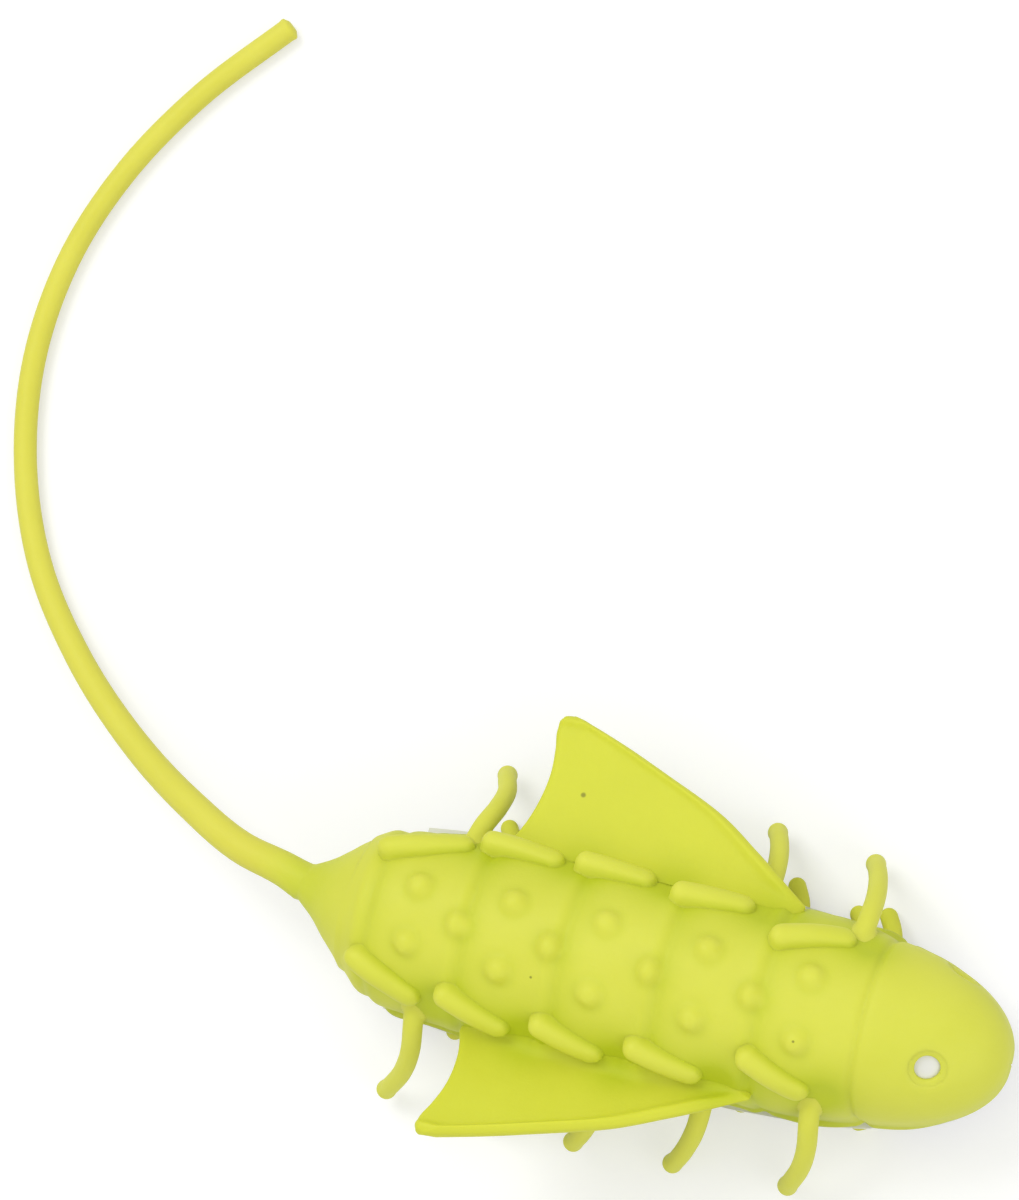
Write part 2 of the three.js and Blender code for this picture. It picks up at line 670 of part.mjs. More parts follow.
function batteryDoor() {
  const disc = uprightBar(cellStation, 0, bellyHeight, plateTop, doorRadius, 32);
  const tab = block(cellStation, doorTabEnd, -doorTabWidth / 2, doorTabWidth / 2, bellyHeight,
    bellyHeight + doorTabThickness);
  const grip = block(cellStation - doorRadius / 3, cellStation - doorRadius / 3 + doorTabThickness,
    -doorTabWidth / 2, doorTabWidth / 2, bellyHeight - cutOverrun, bellyHeight + doorTabThickness / 2);
  return geometryOf(disc.add(tab).subtract(grip).subtract(
    uprightBar(doorScrewStation, 0, 0, plateTop, screwShankRadius + screwClearance, 14)));
}

function buttonCell() {
  const capRadius = cellRadius - cellCanCrimp;
  const profile = [
    [0, 0], [cellRadius - contactGap, 0], [cellRadius, contactGap], [cellRadius, cellCanHeight],
    [capRadius, cellCanHeight + cellCanCrimp / 2], [capRadius - cellCanCrimp, cellHeight], [0, cellHeight],
  ].map(([radius, z]) => new THREE.Vector2(radius, z));
  const cell = new THREE.LatheGeometry(profile, 32);
  cell.rotateX(Math.PI / 2);
  cell.translate(cellStation, 0, cellBase);
  return cell;
}

// The minus leaf reaches over the cell's cap, the plus leaf stands down the cell's side
function cellContact(name) {
  const plus = name === 'plus';
  const y = plus ? contactOffset : -contactOffset;
  const half = contactWidth / 2;
  const leaf = (from, to, low, high) => block(from, to, y - half, y + half, low, high);
  const rear = boardEnd - switchBodyLength / 2;
  const planeTop = contactPlane + contactThickness;
  if (!plus) return geometryOf(leaf(rear, cellStation, contactPlane, planeTop));
  const upright = cellBayStart + bulkheadThickness + contactGap;
  return geometryOf(leaf(rear, upright + contactThickness, contactPlane, planeTop)
    .add(leaf(upright, upright + contactThickness, cellBase + cellCanCrimp, planeTop)));
}

function switchHousing() {
  const low = plateTop + sliderFlangeHeight + 2 * runGap;
  const half = switchBodyLength / 2;
  const stemRoom = switchKnobLength / 4 + switchTravel / 2 + runGap;
  return geometryOf(block(switchStation - half, switchStation + half, -switchBodyWidth / 2,
    switchBodyWidth / 2, low, boardBase - contactGap).subtract(block(switchStation - stemRoom,
    switchStation + stemRoom, -switchKnobWidth / 4 - runGap, switchKnobWidth / 4 + runGap,
    low - cutOverrun, low + sliderFlangeHeight + 2 * runGap)));
}

function switchSlider() {
  const middle = knobStart + switchKnobLength / 2;
  const part = (lengthHalf, widthHalf, low, high) => block(
    middle - lengthHalf, middle + lengthHalf, -widthHalf, widthHalf, low, high);
  const flangeLow = plateTop + runGap;
  const flangeHigh = flangeLow + sliderFlangeHeight;
  const stemHigh = flangeHigh + runGap + sliderFlangeHeight;
  let slider = part(switchKnobLength / 2, switchKnobWidth / 2, bellyHeight - switchKnobProud, flangeHigh)
    .add(part(switchKnobLength / 2, switchKnobWidth / 2 + sliderFlange, flangeLow, flangeHigh))
    .add(part(switchKnobLength / 4, switchKnobWidth / 4, flangeLow, stemHigh));
  for (const step of [-0.25, 0, 0.25]) {
    const x = middle + step * switchKnobLength;
    slider = slider.subtract(block(x - contactGap, x + contactGap, -switchKnobWidth, switchKnobWidth,
      0, bellyHeight - switchKnobProud + contactGap));
  }
  return geometryOf(slider);
}

function circuitBoard() {
  return geometryOf(block(boardStart, boardEnd, -boardWidth / 2, boardWidth / 2, boardBase,
    boardBase + boardThickness));
}

// The two leads run from the board over the cell to the motor's rear
function lead(side) {
  const height = boardBase + boardThickness + fitGap;
  const over = contactPlane + contactThickness + 3 * leadRadius;
  const end = motorStart - fitGap;
  const spot = (x, y, z) => new THREE.Vector3(x, side * y, z);
  return geometryOf(taperedTube([
    spot(boardEnd - 4 * leadRadius, leadOffset, height),
    spot(boardEnd - 3 * leadRadius, leadOffset, over),
    spot(cellStation - cellRadius / 2, leadOffset, over + leadRadius),
    spot(cellStation + cellRadius, leadOffset - leadRadius, over),
    spot(doorScrewStation, motorRadius * 0.7, over - 2 * leadRadius),
    spot(end, motorRadius * 0.5, motorAxisHeight + motorRadius * 0.3),
  ], leadRadius, leadRadius, 18, 6));
}

const shaftRadius = motorShaftDiameter / 2;
const shaftBore = shaftRadius + contactGap;
const canInner = motorRadius - motorCanWall;
const magnetInner = canInner - contactGap - magnetThickness;
const rotorStart = motorStart + motorEndCapThickness + commutatorLength + 2 * fitGap;
const rotorRadius = magnetInner - runGap;

function onMotorAxis(start, end, radius, sides = roundSides) {
  return lengthwiseBar(start, end, 0, motorAxisHeight, radius, sides);
}

function motorCan() {
  return geometryOf(onMotorAxis(motorStart, motorEnd, motorRadius, 24)
    .subtract(onMotorAxis(motorStart - cutOverrun, motorEnd - motorWallThickness, canInner, 24))
    .subtract(onMotorAxis(motorStart, motorEnd + cutOverrun, shaftBore + bushWall + contactGap)));
}

function motorBush() {
  const start = motorEnd - 2 * motorWallThickness;
  return geometryOf(onMotorAxis(start, motorEnd + contactGap, shaftBore + bushWall)
    .subtract(onMotorAxis(motorStart, motorEnd + cutOverrun, shaftBore, 16)));
}

function motorEndCap() {
  return geometryOf(onMotorAxis(motorStart, motorStart + motorEndCapThickness, canInner - contactGap, 24)
    .subtract(onMotorAxis(motorStart + motorEndCapThickness / 3, motorEnd, shaftBore, 16)));
}

function motorMagnet() {
  const start = rotorStart - (magnetLength - rotorLength) / 2;
  return geometryOf(onMotorAxis(start, start + magnetLength, canInner - contactGap, 24)
    .subtract(onMotorAxis(motorStart, motorEnd, magnetInner, 24)));
}

// The rotor has three slots for its windings and a commutator at the rear
function motorRotor() {
  let rotor = onMotorAxis(rotorStart, rotorStart + rotorLength, rotorRadius, 24);
  for (let i = 0; i < 3; i++) {
    const slot = new THREE.BoxGeometry(bodyLength, rotorRadius / 4, rotorRadius);
    slot.translate(0, 0, rotorRadius * 1.05);
    slot.rotateX((i * 2 * Math.PI) / 3);
    slot.translate(0, 0, motorAxisHeight);
    rotor = rotor.subtract(solid(slot));
  }
  return geometryOf(rotor
    .add(onMotorAxis(rotorStart - commutatorLength, rotorStart + contactGap, shaftBore + bushWall))
    .subtract(onMotorAxis(0, bodyLength, shaftBore, 16)));
}

function motorShaft() {
  const start = motorStart + motorEndCapThickness / 2;
  return geometryOf(onMotorAxis(start, weightEnd - contactGap, shaftRadius, 14));
}

// A half disc round a hub, heavy side down at rest
function eccentricWeight() {
  const shape = new THREE.Shape();
  shape.absarc(0, 0, weightRadius, Math.PI, 2 * Math.PI, false);
  shape.lineTo(weightHubRadius, 0);
  shape.absarc(0, 0, weightHubRadius, 0, Math.PI, false);
  const bore = new THREE.Path();
  bore.absarc(0, 0, shaftBore, 0, 2 * Math.PI, true);
  shape.holes.push(bore);
  const weight = new THREE.ExtrudeGeometry(shape,
    { depth: weightLength, bevelEnabled: false, curveSegments: 10 });
  weight.rotateX(Math.PI / 2);
  weight.rotateZ(Math.PI / 2);
  weight.translate(weightStart, 0, motorAxisHeight);
  return geometryOf(solid(weight));
}

// A strap bent over the motor, standing on the cradle's two walls
function motorClip() {
  const middle = (motorStart + motorEnd) / 2;
  const inner = motorRadius + fitGap;
  const reach = inner + cradleWall;
  const strap = onMotorAxis(middle - clipWidth / 2, middle + clipWidth / 2, clipRadius, 24)
    .add(block(middle - clipWidth / 2, middle + clipWidth / 2, -reach, reach,
      motorAxisHeight, motorAxisHeight + fitGap + clipThickness))
    .subtract(onMotorAxis(motorStart, motorEnd, inner, 24));
  return geometryOf(strap.intersect(wideBlock(motorAxisHeight + fitGap, crownHeight)));
}

const finishes = {
  lime: { color: 0xd6de48, roughness: 0.55, metalness: 0 },
  white: { color: 0xeeeeea, roughness: 0.35, metalness: 0 },
  black: { color: 0x202124, roughness: 0.5, metalness: 0 },
  green: { color: 0x1f6b3a, roughness: 0.5, metalness: 0 },
  steel: { color: 0xb9bcc0, roughness: 0.3, metalness: 1 },
  dark: { color: 0x6e6a64, roughness: 0.4, metalness: 1 },
  copper: { color: 0xb06a3c, roughness: 0.4, metalness: 1 },
  brass: { color: 0xc9a45a, roughness: 0.35, metalness: 1 },
  red: { color: 0xb4231f, roughness: 0.5, metalness: 0 },
};

const toy = new THREE.Group();

function place(name, geometry, finish) {
  const mesh = new THREE.Mesh(geometry, new THREE.MeshStandardMaterial(finishes[finish]));
  mesh.name = name;
  toy.add(mesh);
}

place('skin_sleeve', geometryOf(skinSleeve()), 'lime');
place('left_wing', wing('left'), 'lime');
place('right_wing', wing('right'), 'lime');
place('tail', tail(), 'lime');
place('left_leg_strip', legStrip('left'), 'lime');
place('right_leg_strip', legStrip('right'), 'lime');
place('capsule_upper', capsuleUpper(), 'white');
place('capsule_lower', capsuleLower(), 'white');
place('battery_door', batteryDoor(), 'white');
place('battery_door_screw', screw(doorScrewStation, 0, screwLength), 'steel');
place('capsule_screw_rear', screw(rearScrewStation, 0, screwLength), 'steel');
place('capsule_screw_front', screw(frontScrewStation, 0, screwLength), 'steel');
place('button_cell', buttonCell(), 'steel');
place('cell_plus_contact', cellContact('plus'), 'brass');
place('cell_minus_contact', cellContact('minus'), 'brass');
place('switch_housing', switchHousing(), 'black');
place('switch_slider', switchSlider(), 'black');
place('circuit_board', circuitBoard(), 'green');
place('red_lead', lead(1), 'red');
place('black_lead', lead(-1), 'black');
place('motor_can', motorCan(), 'steel');
place('motor_end_cap', motorEndCap(), 'black');
place('motor_magnet', motorMagnet(), 'dark');
place('motor_rotor', motorRotor(), 'copper');
place('motor_shaft', motorShaft(), 'steel');
place('motor_bush', motorBush(), 'brass');
place('motor_clip', motorClip(), 'steel');
place('eccentric_weight', eccentricWeight(), 'dark');

// The origin lies on the floor under the middle of the whole toy
const bounds = new THREE.Box3().setFromObject(toy);
const centre = bounds.getCenter(new THREE.Vector3());
toy.position.set(-centre.x, -centre.y, -bounds.min.z);

export default toy;
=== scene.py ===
"""A vibrating bug toy for a cat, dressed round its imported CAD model.

The pieces come in the order the toy is put together: the rubber skin with its
tail, its relief, legs and wings, then the hard capsule with what it holds, and
last the studio.  Sizes are in millimetres until a mesh is made.
"""
import math

import bpy
import numpy as np
from mathutils import Matrix, Vector


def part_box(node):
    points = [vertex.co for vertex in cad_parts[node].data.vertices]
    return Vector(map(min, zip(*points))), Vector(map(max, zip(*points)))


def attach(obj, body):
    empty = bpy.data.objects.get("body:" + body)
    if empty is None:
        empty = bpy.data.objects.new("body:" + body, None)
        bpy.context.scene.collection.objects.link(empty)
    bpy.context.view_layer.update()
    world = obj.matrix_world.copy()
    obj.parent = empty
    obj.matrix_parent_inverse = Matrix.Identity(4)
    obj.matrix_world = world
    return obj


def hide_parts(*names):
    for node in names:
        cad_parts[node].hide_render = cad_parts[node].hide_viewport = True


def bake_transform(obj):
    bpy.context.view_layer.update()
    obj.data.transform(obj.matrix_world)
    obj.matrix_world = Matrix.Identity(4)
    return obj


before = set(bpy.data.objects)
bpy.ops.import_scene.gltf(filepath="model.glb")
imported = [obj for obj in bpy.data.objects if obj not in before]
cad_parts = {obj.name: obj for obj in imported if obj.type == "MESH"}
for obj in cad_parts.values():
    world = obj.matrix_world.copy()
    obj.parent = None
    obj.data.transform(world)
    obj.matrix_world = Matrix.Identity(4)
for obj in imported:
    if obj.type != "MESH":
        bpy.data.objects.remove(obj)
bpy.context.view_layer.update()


# Soft skin and tail
# One moulding of lime thermoplastic rubber: a long dome, open below, that is pulled over the
# capsule, and a solid tail that tapers from its rear end and lies round in a curl on the floor.

mm = 0.001
body_length = 58.4
body_half_width = 8.0
axis_height = 9.0
crown_rise = 7.8
keel_drop = 6.0
hem_height = 4.3
skin_wall = 0.9
pocket_start = 7.0
pocket_end = 55.4
nose_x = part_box("skin_sleeve")[1].x / mm
middle_y = (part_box("motor_shaft")[0].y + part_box("motor_shaft")[1].y) / 2 / mm
root_x = nose_x - body_length

# stations along the body as shares, then half width, crown rise and keel drop as shares, and the
# sag of the flanks to the left as a share of the half width
body_shares = np.array([
    [0.0, 0.2, 0.21, 0.26, 0.015], [0.027, 0.33, 0.33, 0.42, 0.03], [0.05, 0.475, 0.48, 0.62, 0.03],
    [0.07, 0.6, 0.6, 0.76, 0.02], [0.09, 0.72, 0.71, 0.88, 0.005],
    [0.118, 0.835, 0.83, 0.97, -0.03], [0.18, 0.91, 0.9, 1.0, -0.037], [0.27, 0.97, 0.96, 1.0, -0.01],
    [0.4, 1.0, 1.0, 1.0, 0], [0.63, 1.0, 0.98, 1.0, 0], [0.75, 0.965, 0.935, 1.0, 0.01],
    [0.79, 0.922, 0.907, 1.0, 0.015], [0.812, 0.872, 0.89, 1.0, 0.015],
])
head_start = 0.812
nose_share = 0.995
crease_shares = (0.122, 0.262, 0.4, 0.538, 0.674)
side_bump_shares = (0.189, 0.323, 0.453, 0.594, 0.735)
middle_bump_shares = (0.258, 0.387, 0.527, 0.667)
side_bump_turns = (0.2, 0.222, 0.226, 0.222, 0.21)
# the flank ridges' rear and front ends, 1 for the left flank and -1 for the right one: shares of the
# length, and the turn from the crown as a share of a right angle; the soft skin sits a little askew
ridge_rear_shares = {1: ((0.117, 0.425), (0.245, 0.671), (0.379, 0.64), (0.519, 0.55), (0.668, 0.388)),
                     -1: ((0.113, 0.37), (0.243, 0.445), (0.379, 0.481), (0.511, 0.475), (0.665, 0.348))}
ridge_front_shares = {1: ((0.232, 0.665), (0.359, 0.64), (0.488, 0.658), (0.627, 0.645), (0.77, 0.6)),
                      -1: ((0.212, 0.621), (0.34, 0.682), (0.473, 0.694), (0.612, 0.648), (0.757, 0.596))}
eye_station = 53.15
eye_turns = (-0.243, 0.96)

tail_reach = 68.0
tail_root_radius = 1.38
tail_tip_radius = 0.96
tail_taper_share = 0.52
# the tail's middle line from its root: shares of its reach back and left, and of the root height
tail_route_shares = np.array([
    [-0.074, 0, 1], [-0.044, 0.002, 1], [0.0, 0.009, 0.996], [0.03, 0.018, 0.985],
    [0.09, 0.031, 0.9], [0.178, 0.069, 0.7], [0.281, 0.128, 0.4], [0.384, 0.212, 0.2],
    [0.462, 0.306, 0.138], [0.5185, 0.431, 0.127], [0.5415, 0.562, 0.122], [0.529, 0.693, 0.117],
    [0.487, 0.808, 0.112], [0.423, 0.912, 0.109], [0.328, 1.022, 0.107],
])


def smooth_through(x, knots, values):
    """A cubic through the knots, whose slope at each one is the mean slope of its neighbours."""
    knots, values = np.asarray(knots, float), np.asarray(values, float)
    slopes = np.gradient(values, knots, axis=0)
    i = np.clip(np.searchsorted(knots, x) - 1, 0, len(knots) - 2)
    step = knots[i + 1] - knots[i]
    t = np.clip((x - knots[i]) / step, 0, 1)
    if values.ndim > 1:
        t, step = t[..., None], step[..., None]
    rise = values[i + 1] - values[i]
    bend = t * (1 - t) * ((1 - t) * (slopes[i] * step - rise) - t * (slopes[i + 1] * step - rise))
    return values[i] + t * rise + bend


def smooth_step(x, low, high):
    """0 below low, 1 above high, and a smooth S between them."""
    t = np.clip((np.asarray(x, float) - low) / (high - low), 0, 1)
    return t * t * (3 - 2 * t)


def hill(away, half_width, power=2):
    """A bell over the distance from its middle: 1 there, and 1 / e at the half width."""
    return np.exp(-np.abs(away / half_width) ** power)


def away_from(points, centre):
    """Distance of each point from the centre."""
    return np.linalg.norm(points - centre, axis=-1)


def route_of(points, count):
    """A smooth line through the points, given again as count points at equal steps along it."""
    points = np.asarray(points, float)
    chord = np.concatenate([[0], np.cumsum(np.linalg.norm(np.diff(points, axis=0), axis=1))])
    line = smooth_through(np.linspace(0, chord[-1], 20 * count), chord, points)
    run = np.concatenate([[0], np.cumsum(np.linalg.norm(np.diff(line, axis=0), axis=1))])
    even = np.linspace(0, run[-1], count)
    return np.stack([np.interp(even, run, line[:, k]) for k in range(3)], -1), even


straight_from = 5.0
tail_line, tail_run = route_of(
    tail_route_shares * [-tail_reach, tail_reach, axis_height], 900)
tail_length = tail_run[-1] - straight_from
tail_forward = -np.gradient(tail_line, axis=0)
tail_forward /= np.linalg.norm(tail_forward, axis=1, keepdims=True)


def middle_line(u):
    """The point and the forward, left and upward directions at u, measured from the tail root.

    Ahead of the root the line runs straight along X at the height of the axis, and behind it u is
    the length along the tail's curved line, below zero."""
    back = straight_from - u
    at = np.stack([np.interp(back, tail_run, tail_line[:, k]) for k in range(3)], -1)
    at[..., 0] += np.maximum(u - straight_from, 0)
    ahead = np.stack([np.interp(back, tail_run, tail_forward[:, k]) for k in range(3)], -1)
    ahead = np.where((u >= straight_from)[..., None], [1.0, 0.0, 0.0], ahead)
    left = np.cross([0.0, 0.0, 1.0], ahead)
    left /= np.linalg.norm(left, axis=-1, keepdims=True)
    return at, ahead, left, np.cross(ahead, left)


def section_sizes(u, inset=0.0):
    """Half width, rise, drop, squareness and sideways sag of the section at u, drawn in by an
    inset. They follow the rows of shares up to the head, which rounds off as an ellipse does.
    Behind the root the section is a circle that thins to the tip, flared a little at the root."""
    share = u / (body_length - inset)
    rows = smooth_through(np.clip(share, 0, head_start), body_shares[:, 0], body_shares[:, 1:])
    along = np.clip((share - head_start) / (nose_share - head_start), 0, 1)
    round_off = np.sqrt(1 - along ** 2)
    egg = 1 - 0.02 * np.sin(math.pi * along)
    width = rows[..., 0] * round_off * egg * (body_half_width - inset)
    rise = rows[..., 1] * round_off * (crown_rise - inset)
    drop = rows[..., 2] * np.sqrt(1 - along ** 6) * keel_drop
    square = 1 - 0.7 * smooth_step(share, 0.02, 0.1) + 0.3 * smooth_step(along, 0.2, 1)
    down_tail = np.clip(-u / tail_length / tail_taper_share, 0, 1)
    tail = tail_tip_radius + (tail_root_radius - tail_tip_radius) * (1 - down_tail) ** 1.15
    tail = tail + 0.25 * np.exp(-np.maximum(-u, 0) / 1.6)
    on_tail = u < 0
    sag = np.where(on_tail, 0, rows[..., 3] * round_off * body_half_width)
    return (np.where(on_tail, tail, width), np.where(on_tail, tail, rise),
            np.where(on_tail, tail, drop), square, sag)


def lower_width(width, square, depth_share):
    """Half width of the lower half at a share of the drop: a power ellipse, square when below 1."""
    t = np.clip(depth_share, 0, 1)
    return width * (1 - t ** (2 / square)) ** (square / 2)


def plain_skin(u, v):
    """The skin without relief: half an ellipse above the axis and a power ellipse below it. v is 0
    on the crown, 1 at the left side and -1 at the right side, and beyond that it goes on down the
    side by shares of the drop."""
    width, rise, drop, square, sag = section_sizes(u)
    angle = np.clip(v, -1, 1) * math.pi / 2
    down = np.maximum(np.abs(v) - 1, 0)
    across = np.where(down > 0, np.sign(v) * lower_width(width, square, down), width * np.sin(angle))
    across = across + sag * np.sin(angle) ** 2 * (1 - np.minimum(down, 1))
    up = np.where(down > 0, -drop * down, rise * np.cos(angle))
    at, _, left, above = middle_line(u)
    return at + across[..., None] * left + up[..., None] * above


def skin_normal(u, v):
    """The outward direction of the plain skin, from the cross product of small steps along and
    round it."""
    small = 0.004
    along = plain_skin(u + small, v) - plain_skin(u - small, v)
    around = plain_skin(u, v + small) - plain_skin(u, v - small)
    normal = np.cross(around, along)
    return -normal / (np.linalg.norm(normal, axis=-1, keepdims=True) + 1e-12)


def spot(u, v):
    """One point of the plain skin."""
    return plain_skin(np.array([float(u)]), np.array([float(v)]))[0]


bump_spots = [spot(share * body_length, side * turn)
              for share, turn in zip(side_bump_shares, side_bump_turns) for side in (1, -1)]
bump_spots += [spot(share * body_length, 0) for share in middle_bump_shares]
pocket_spots = [spot(share * body_length + 1.3, side * turn)
                for side in (1, -1) for share, turn in ridge_front_shares[side]]
eye_spots = [spot(eye_station, turn) for turn in eye_turns]


# the relief's heights and depths, each with the half width or radius that it falls off over
swelling_height, swelling_half_width = 0.11, 0.6
crease_depth, crease_half_width = 0.2, 0.48
groove_depth, groove_half_width = 0.2, 0.32
bump_height, bump_radius = 0.72, 0.93
dip_depth, dip_radius = 0.22, 1.3
countersink, countersink_radii = 0.11, (1.0, 2.1)
eye_hole_depth, eye_hole_radii = 0.66, (1.2, 1.5)
hem_bead, hem_bead_half_width = 0.16, 0.4
# the soft hem has crept out over the rim in lobes: station, half width and height of each one
hem_lobes = {1: ((13.5, 4.5, 0.567), (42.0, 2.5, 0.252), (46.0, 2.0, 0.462)),
             -1: ((8.5, 3.2, 0.63), (18.0, 5.0, 0.84), (37.5, 3.0, 0.21), (43.5, 3.2, 0.42))}
head_flare = 0.1


def countersink_depth(away):
    """Depth of the shallow cone round an eye at a distance from its middle."""
    return countersink * (1 - smooth_step(away, *countersink_radii))


def hem_flare(u, v):
    """How far the hem has crept out: the sum of its side's lobes, and a little round the head."""
    left, right = (sum(height * hill(u - station, half_width)
                       for station, half_width, height in hem_lobes[side]) for side in (1, -1))
    return np.where(v < 0, right, left) + head_flare * smooth_step(u, 47.5, 48.5)


def skin_relief(u, v, at):
    """Height of the relief over the plain skin: five soft ring creases, each behind a low
    swelling, the groove behind the head cap, domed bumps, a pocket in front of each ridge, a
    countersink and a hole at each eye, and a bead along the hem."""
    relief = np.zeros(np.broadcast(u, v).shape)
    for share in crease_shares:
        ahead = u - share * body_length
        relief = relief + swelling_height * hill(ahead + 0.75, swelling_half_width)
        relief = relief - crease_depth * hill(ahead - 0.2, crease_half_width)
    ahead = u - head_start * body_length
    relief = relief + 0.07 * np.exp(np.minimum(ahead, 0) / 1.4)
    relief = relief + 0.09 * smooth_step(ahead, 0, 0.8) * np.exp(-np.maximum(ahead, 0) / 2.5)
    relief = relief - groove_depth * hill(ahead, groove_half_width)
    for centre in bump_spots:
        relief = relief + bump_height * hill(away_from(at, centre), bump_radius, 3.4)
    for centre in pocket_spots:
        relief = relief - dip_depth * hill(away_from(at, centre), dip_radius)
    for centre in eye_spots:
        away = away_from(at, centre)
        relief = relief - countersink_depth(away)
        relief = relief - eye_hole_depth * (1 - smooth_step(away, *eye_hole_radii))
    hem = hill(at[..., 2] - hem_height - hem_bead_half_width, hem_bead_half_width)
    hem = hem * smooth_step(-u, -pocket_end - 0.5, -50) * smooth_step(u, 3, 9) * (np.abs(v) > 1)
    relief = relief + (hem_bead + hem_flare(u, v)) * hem
    return relief * smooth_step(u, 0.5, 3)


def on_skin(u, v, lift=0.0):
    """A point of the finished skin, raised by lift along its outward direction."""
    u, v = np.broadcast_arrays(np.asarray(u, float), np.asarray(v, float))
    at = plain_skin(u, v)
    height = skin_relief(u, v, at) + lift
    return at + height[..., None] * skin_normal(u, v)


def off_skin(x, y, z):
    """How far points beside the body stand off the finished skin, to its oval section above the
    axis and to its square one below."""
    width, height, drop, square, sag = section_sizes(x)
    side = np.sign(y)
    down = np.clip((axis_height - z) / drop, 0, 1)
    across = side * y - side * sag * (1 - down)
    up = np.maximum(z - axis_height, 0) / height
    above = (np.hypot(across / width, up) - 1) * width
    below = across - lower_width(width, square, down)
    v = side * np.where(down > 0, 1 + down, np.arctan2(across / width, up) * 2 / math.pi)
    return np.where(down > 0, below, above) - skin_relief(x, v, plain_skin(x, v))


def fillet_height(away, radius):
    """Height of a round fillet at a distance from the skin. It ends a little below the skin."""
    away = np.clip(away + 0.06, 0, radius)
    return radius - np.sqrt(radius ** 2 - (radius - away) ** 2)


def in_frame(points):
    """Body coordinates in millimetres to metres in the row frame."""
    return (np.asarray(points) + [root_x, middle_y, 0]) * mm


def make_piece(name, grids, material, body=None, joined_ends=False):
    """Skins grids of points, rows along and columns round, into one closed smooth mesh.

    The columns close on themselves. Each end of the rows closes with a fan to its middle point,
    or, where joined_ends is set, the last row joins the first. A grid whose faces would point
    inwards, by the sign of its volume, is turned round. The piece rides the body that is named."""
    points, faces, start = [], [], 0
    for grid in grids:
        grid = np.asarray(grid, float)
        rows, columns = grid.shape[:2]
        flat = grid.reshape(-1, 3)
        row = np.arange(rows if joined_ends else rows - 1)[:, None]
        column = np.arange(columns)[None, :]
        beside, after = (column + 1) % columns, (row + 1) % rows
        quads = np.stack([row * columns + column, row * columns + beside,
                          after * columns + beside, after * columns + column], -1).reshape(-1, 4)
        fans = np.zeros((0, 3), int)
        if not joined_ends:
            ends = np.stack([grid[0].mean(0), grid[-1].mean(0)])
            flat = np.concatenate([flat, ends])
            first, next_one = np.arange(columns), (np.arange(columns) + 1) % columns
            last = (rows - 1) * columns
            fans = np.concatenate([
                np.stack([np.full(columns, rows * columns), next_one, first], -1),
                np.stack([np.full(columns, rows * columns + 1), last + first, last + next_one], -1)])
        corners = flat[np.concatenate([quads[:, :3], quads[:, [0, 2, 3]], fans])]
        volume = np.einsum("ij,ij->i", corners[:, 0], np.cross(corners[:, 1], corners[:, 2])).sum()
        turn = slice(None, None, -1 if volume < 0 else 1)
        faces += (quads[:, turn] + start).tolist() + (fans[:, turn] + start).tolist()
        points.append(flat)
        start += len(flat)
    mesh = bpy.data.meshes.new(name)
    mesh.from_pydata(in_frame(np.concatenate(points)).tolist(), [], faces)
    mesh.polygons.foreach_set("use_smooth", np.ones(len(faces), bool))
    mesh.materials.append(material)
    piece = bpy.data.objects.new(name, mesh)
    bpy.context.scene.collection.objects.link(piece)
    if body:
        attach(piece, body)
    return piece


def give_shares(piece, **shares):
    """Writes shares from 0 to 1 as point attributes of a piece, one value for each grid point in
    the order of its grids, with each end's middle point taking its row's mean."""
    for name, grids in shares.items():
        values = []
        for grid in grids:
            grid = np.asarray(grid, float)
            values += [*grid.ravel(), grid[0].mean(), grid[-1].mean()]
        attribute = piece.data.attributes.new(name, "FLOAT", "POINT")
        attribute.data.foreach_set("value", np.clip(values, 0, 1).astype(np.float32))


# Rubber finish: satin, a little translucent, with a fine moulded grain and faint mottling. Painted
# shade makes it greener and deeper in hollows and on the flanks, and it is warmer where it is thin.

def add_node(tree, kind, inputs=None, **settings):
    """A node of that kind with its settings. Each input, by name or number, is linked where it is
    given another node's socket, and otherwise set to the value."""
    node = tree.nodes.new(kind)
    for key, value in settings.items():
        setattr(node, key, value)
    for key, value in (inputs or {}).items():
        if isinstance(value, bpy.types.NodeSocket):
            tree.links.new(value, node.inputs[key])
        else:
            node.inputs[key].default_value = value
    return node


def mix_colours(tree, share, first, second, blend="MIX"):
    """Goes from the first colour to the second by the share; each is a socket or a plain colour."""
    first, second = ((*colour, 1) if isinstance(colour, tuple) else colour
                     for colour in (first, second))
    return add_node(tree, "ShaderNodeMix", {0: share, 6: first, 7: second}, data_type="RGBA",
                    blend_type=blend).outputs[2]


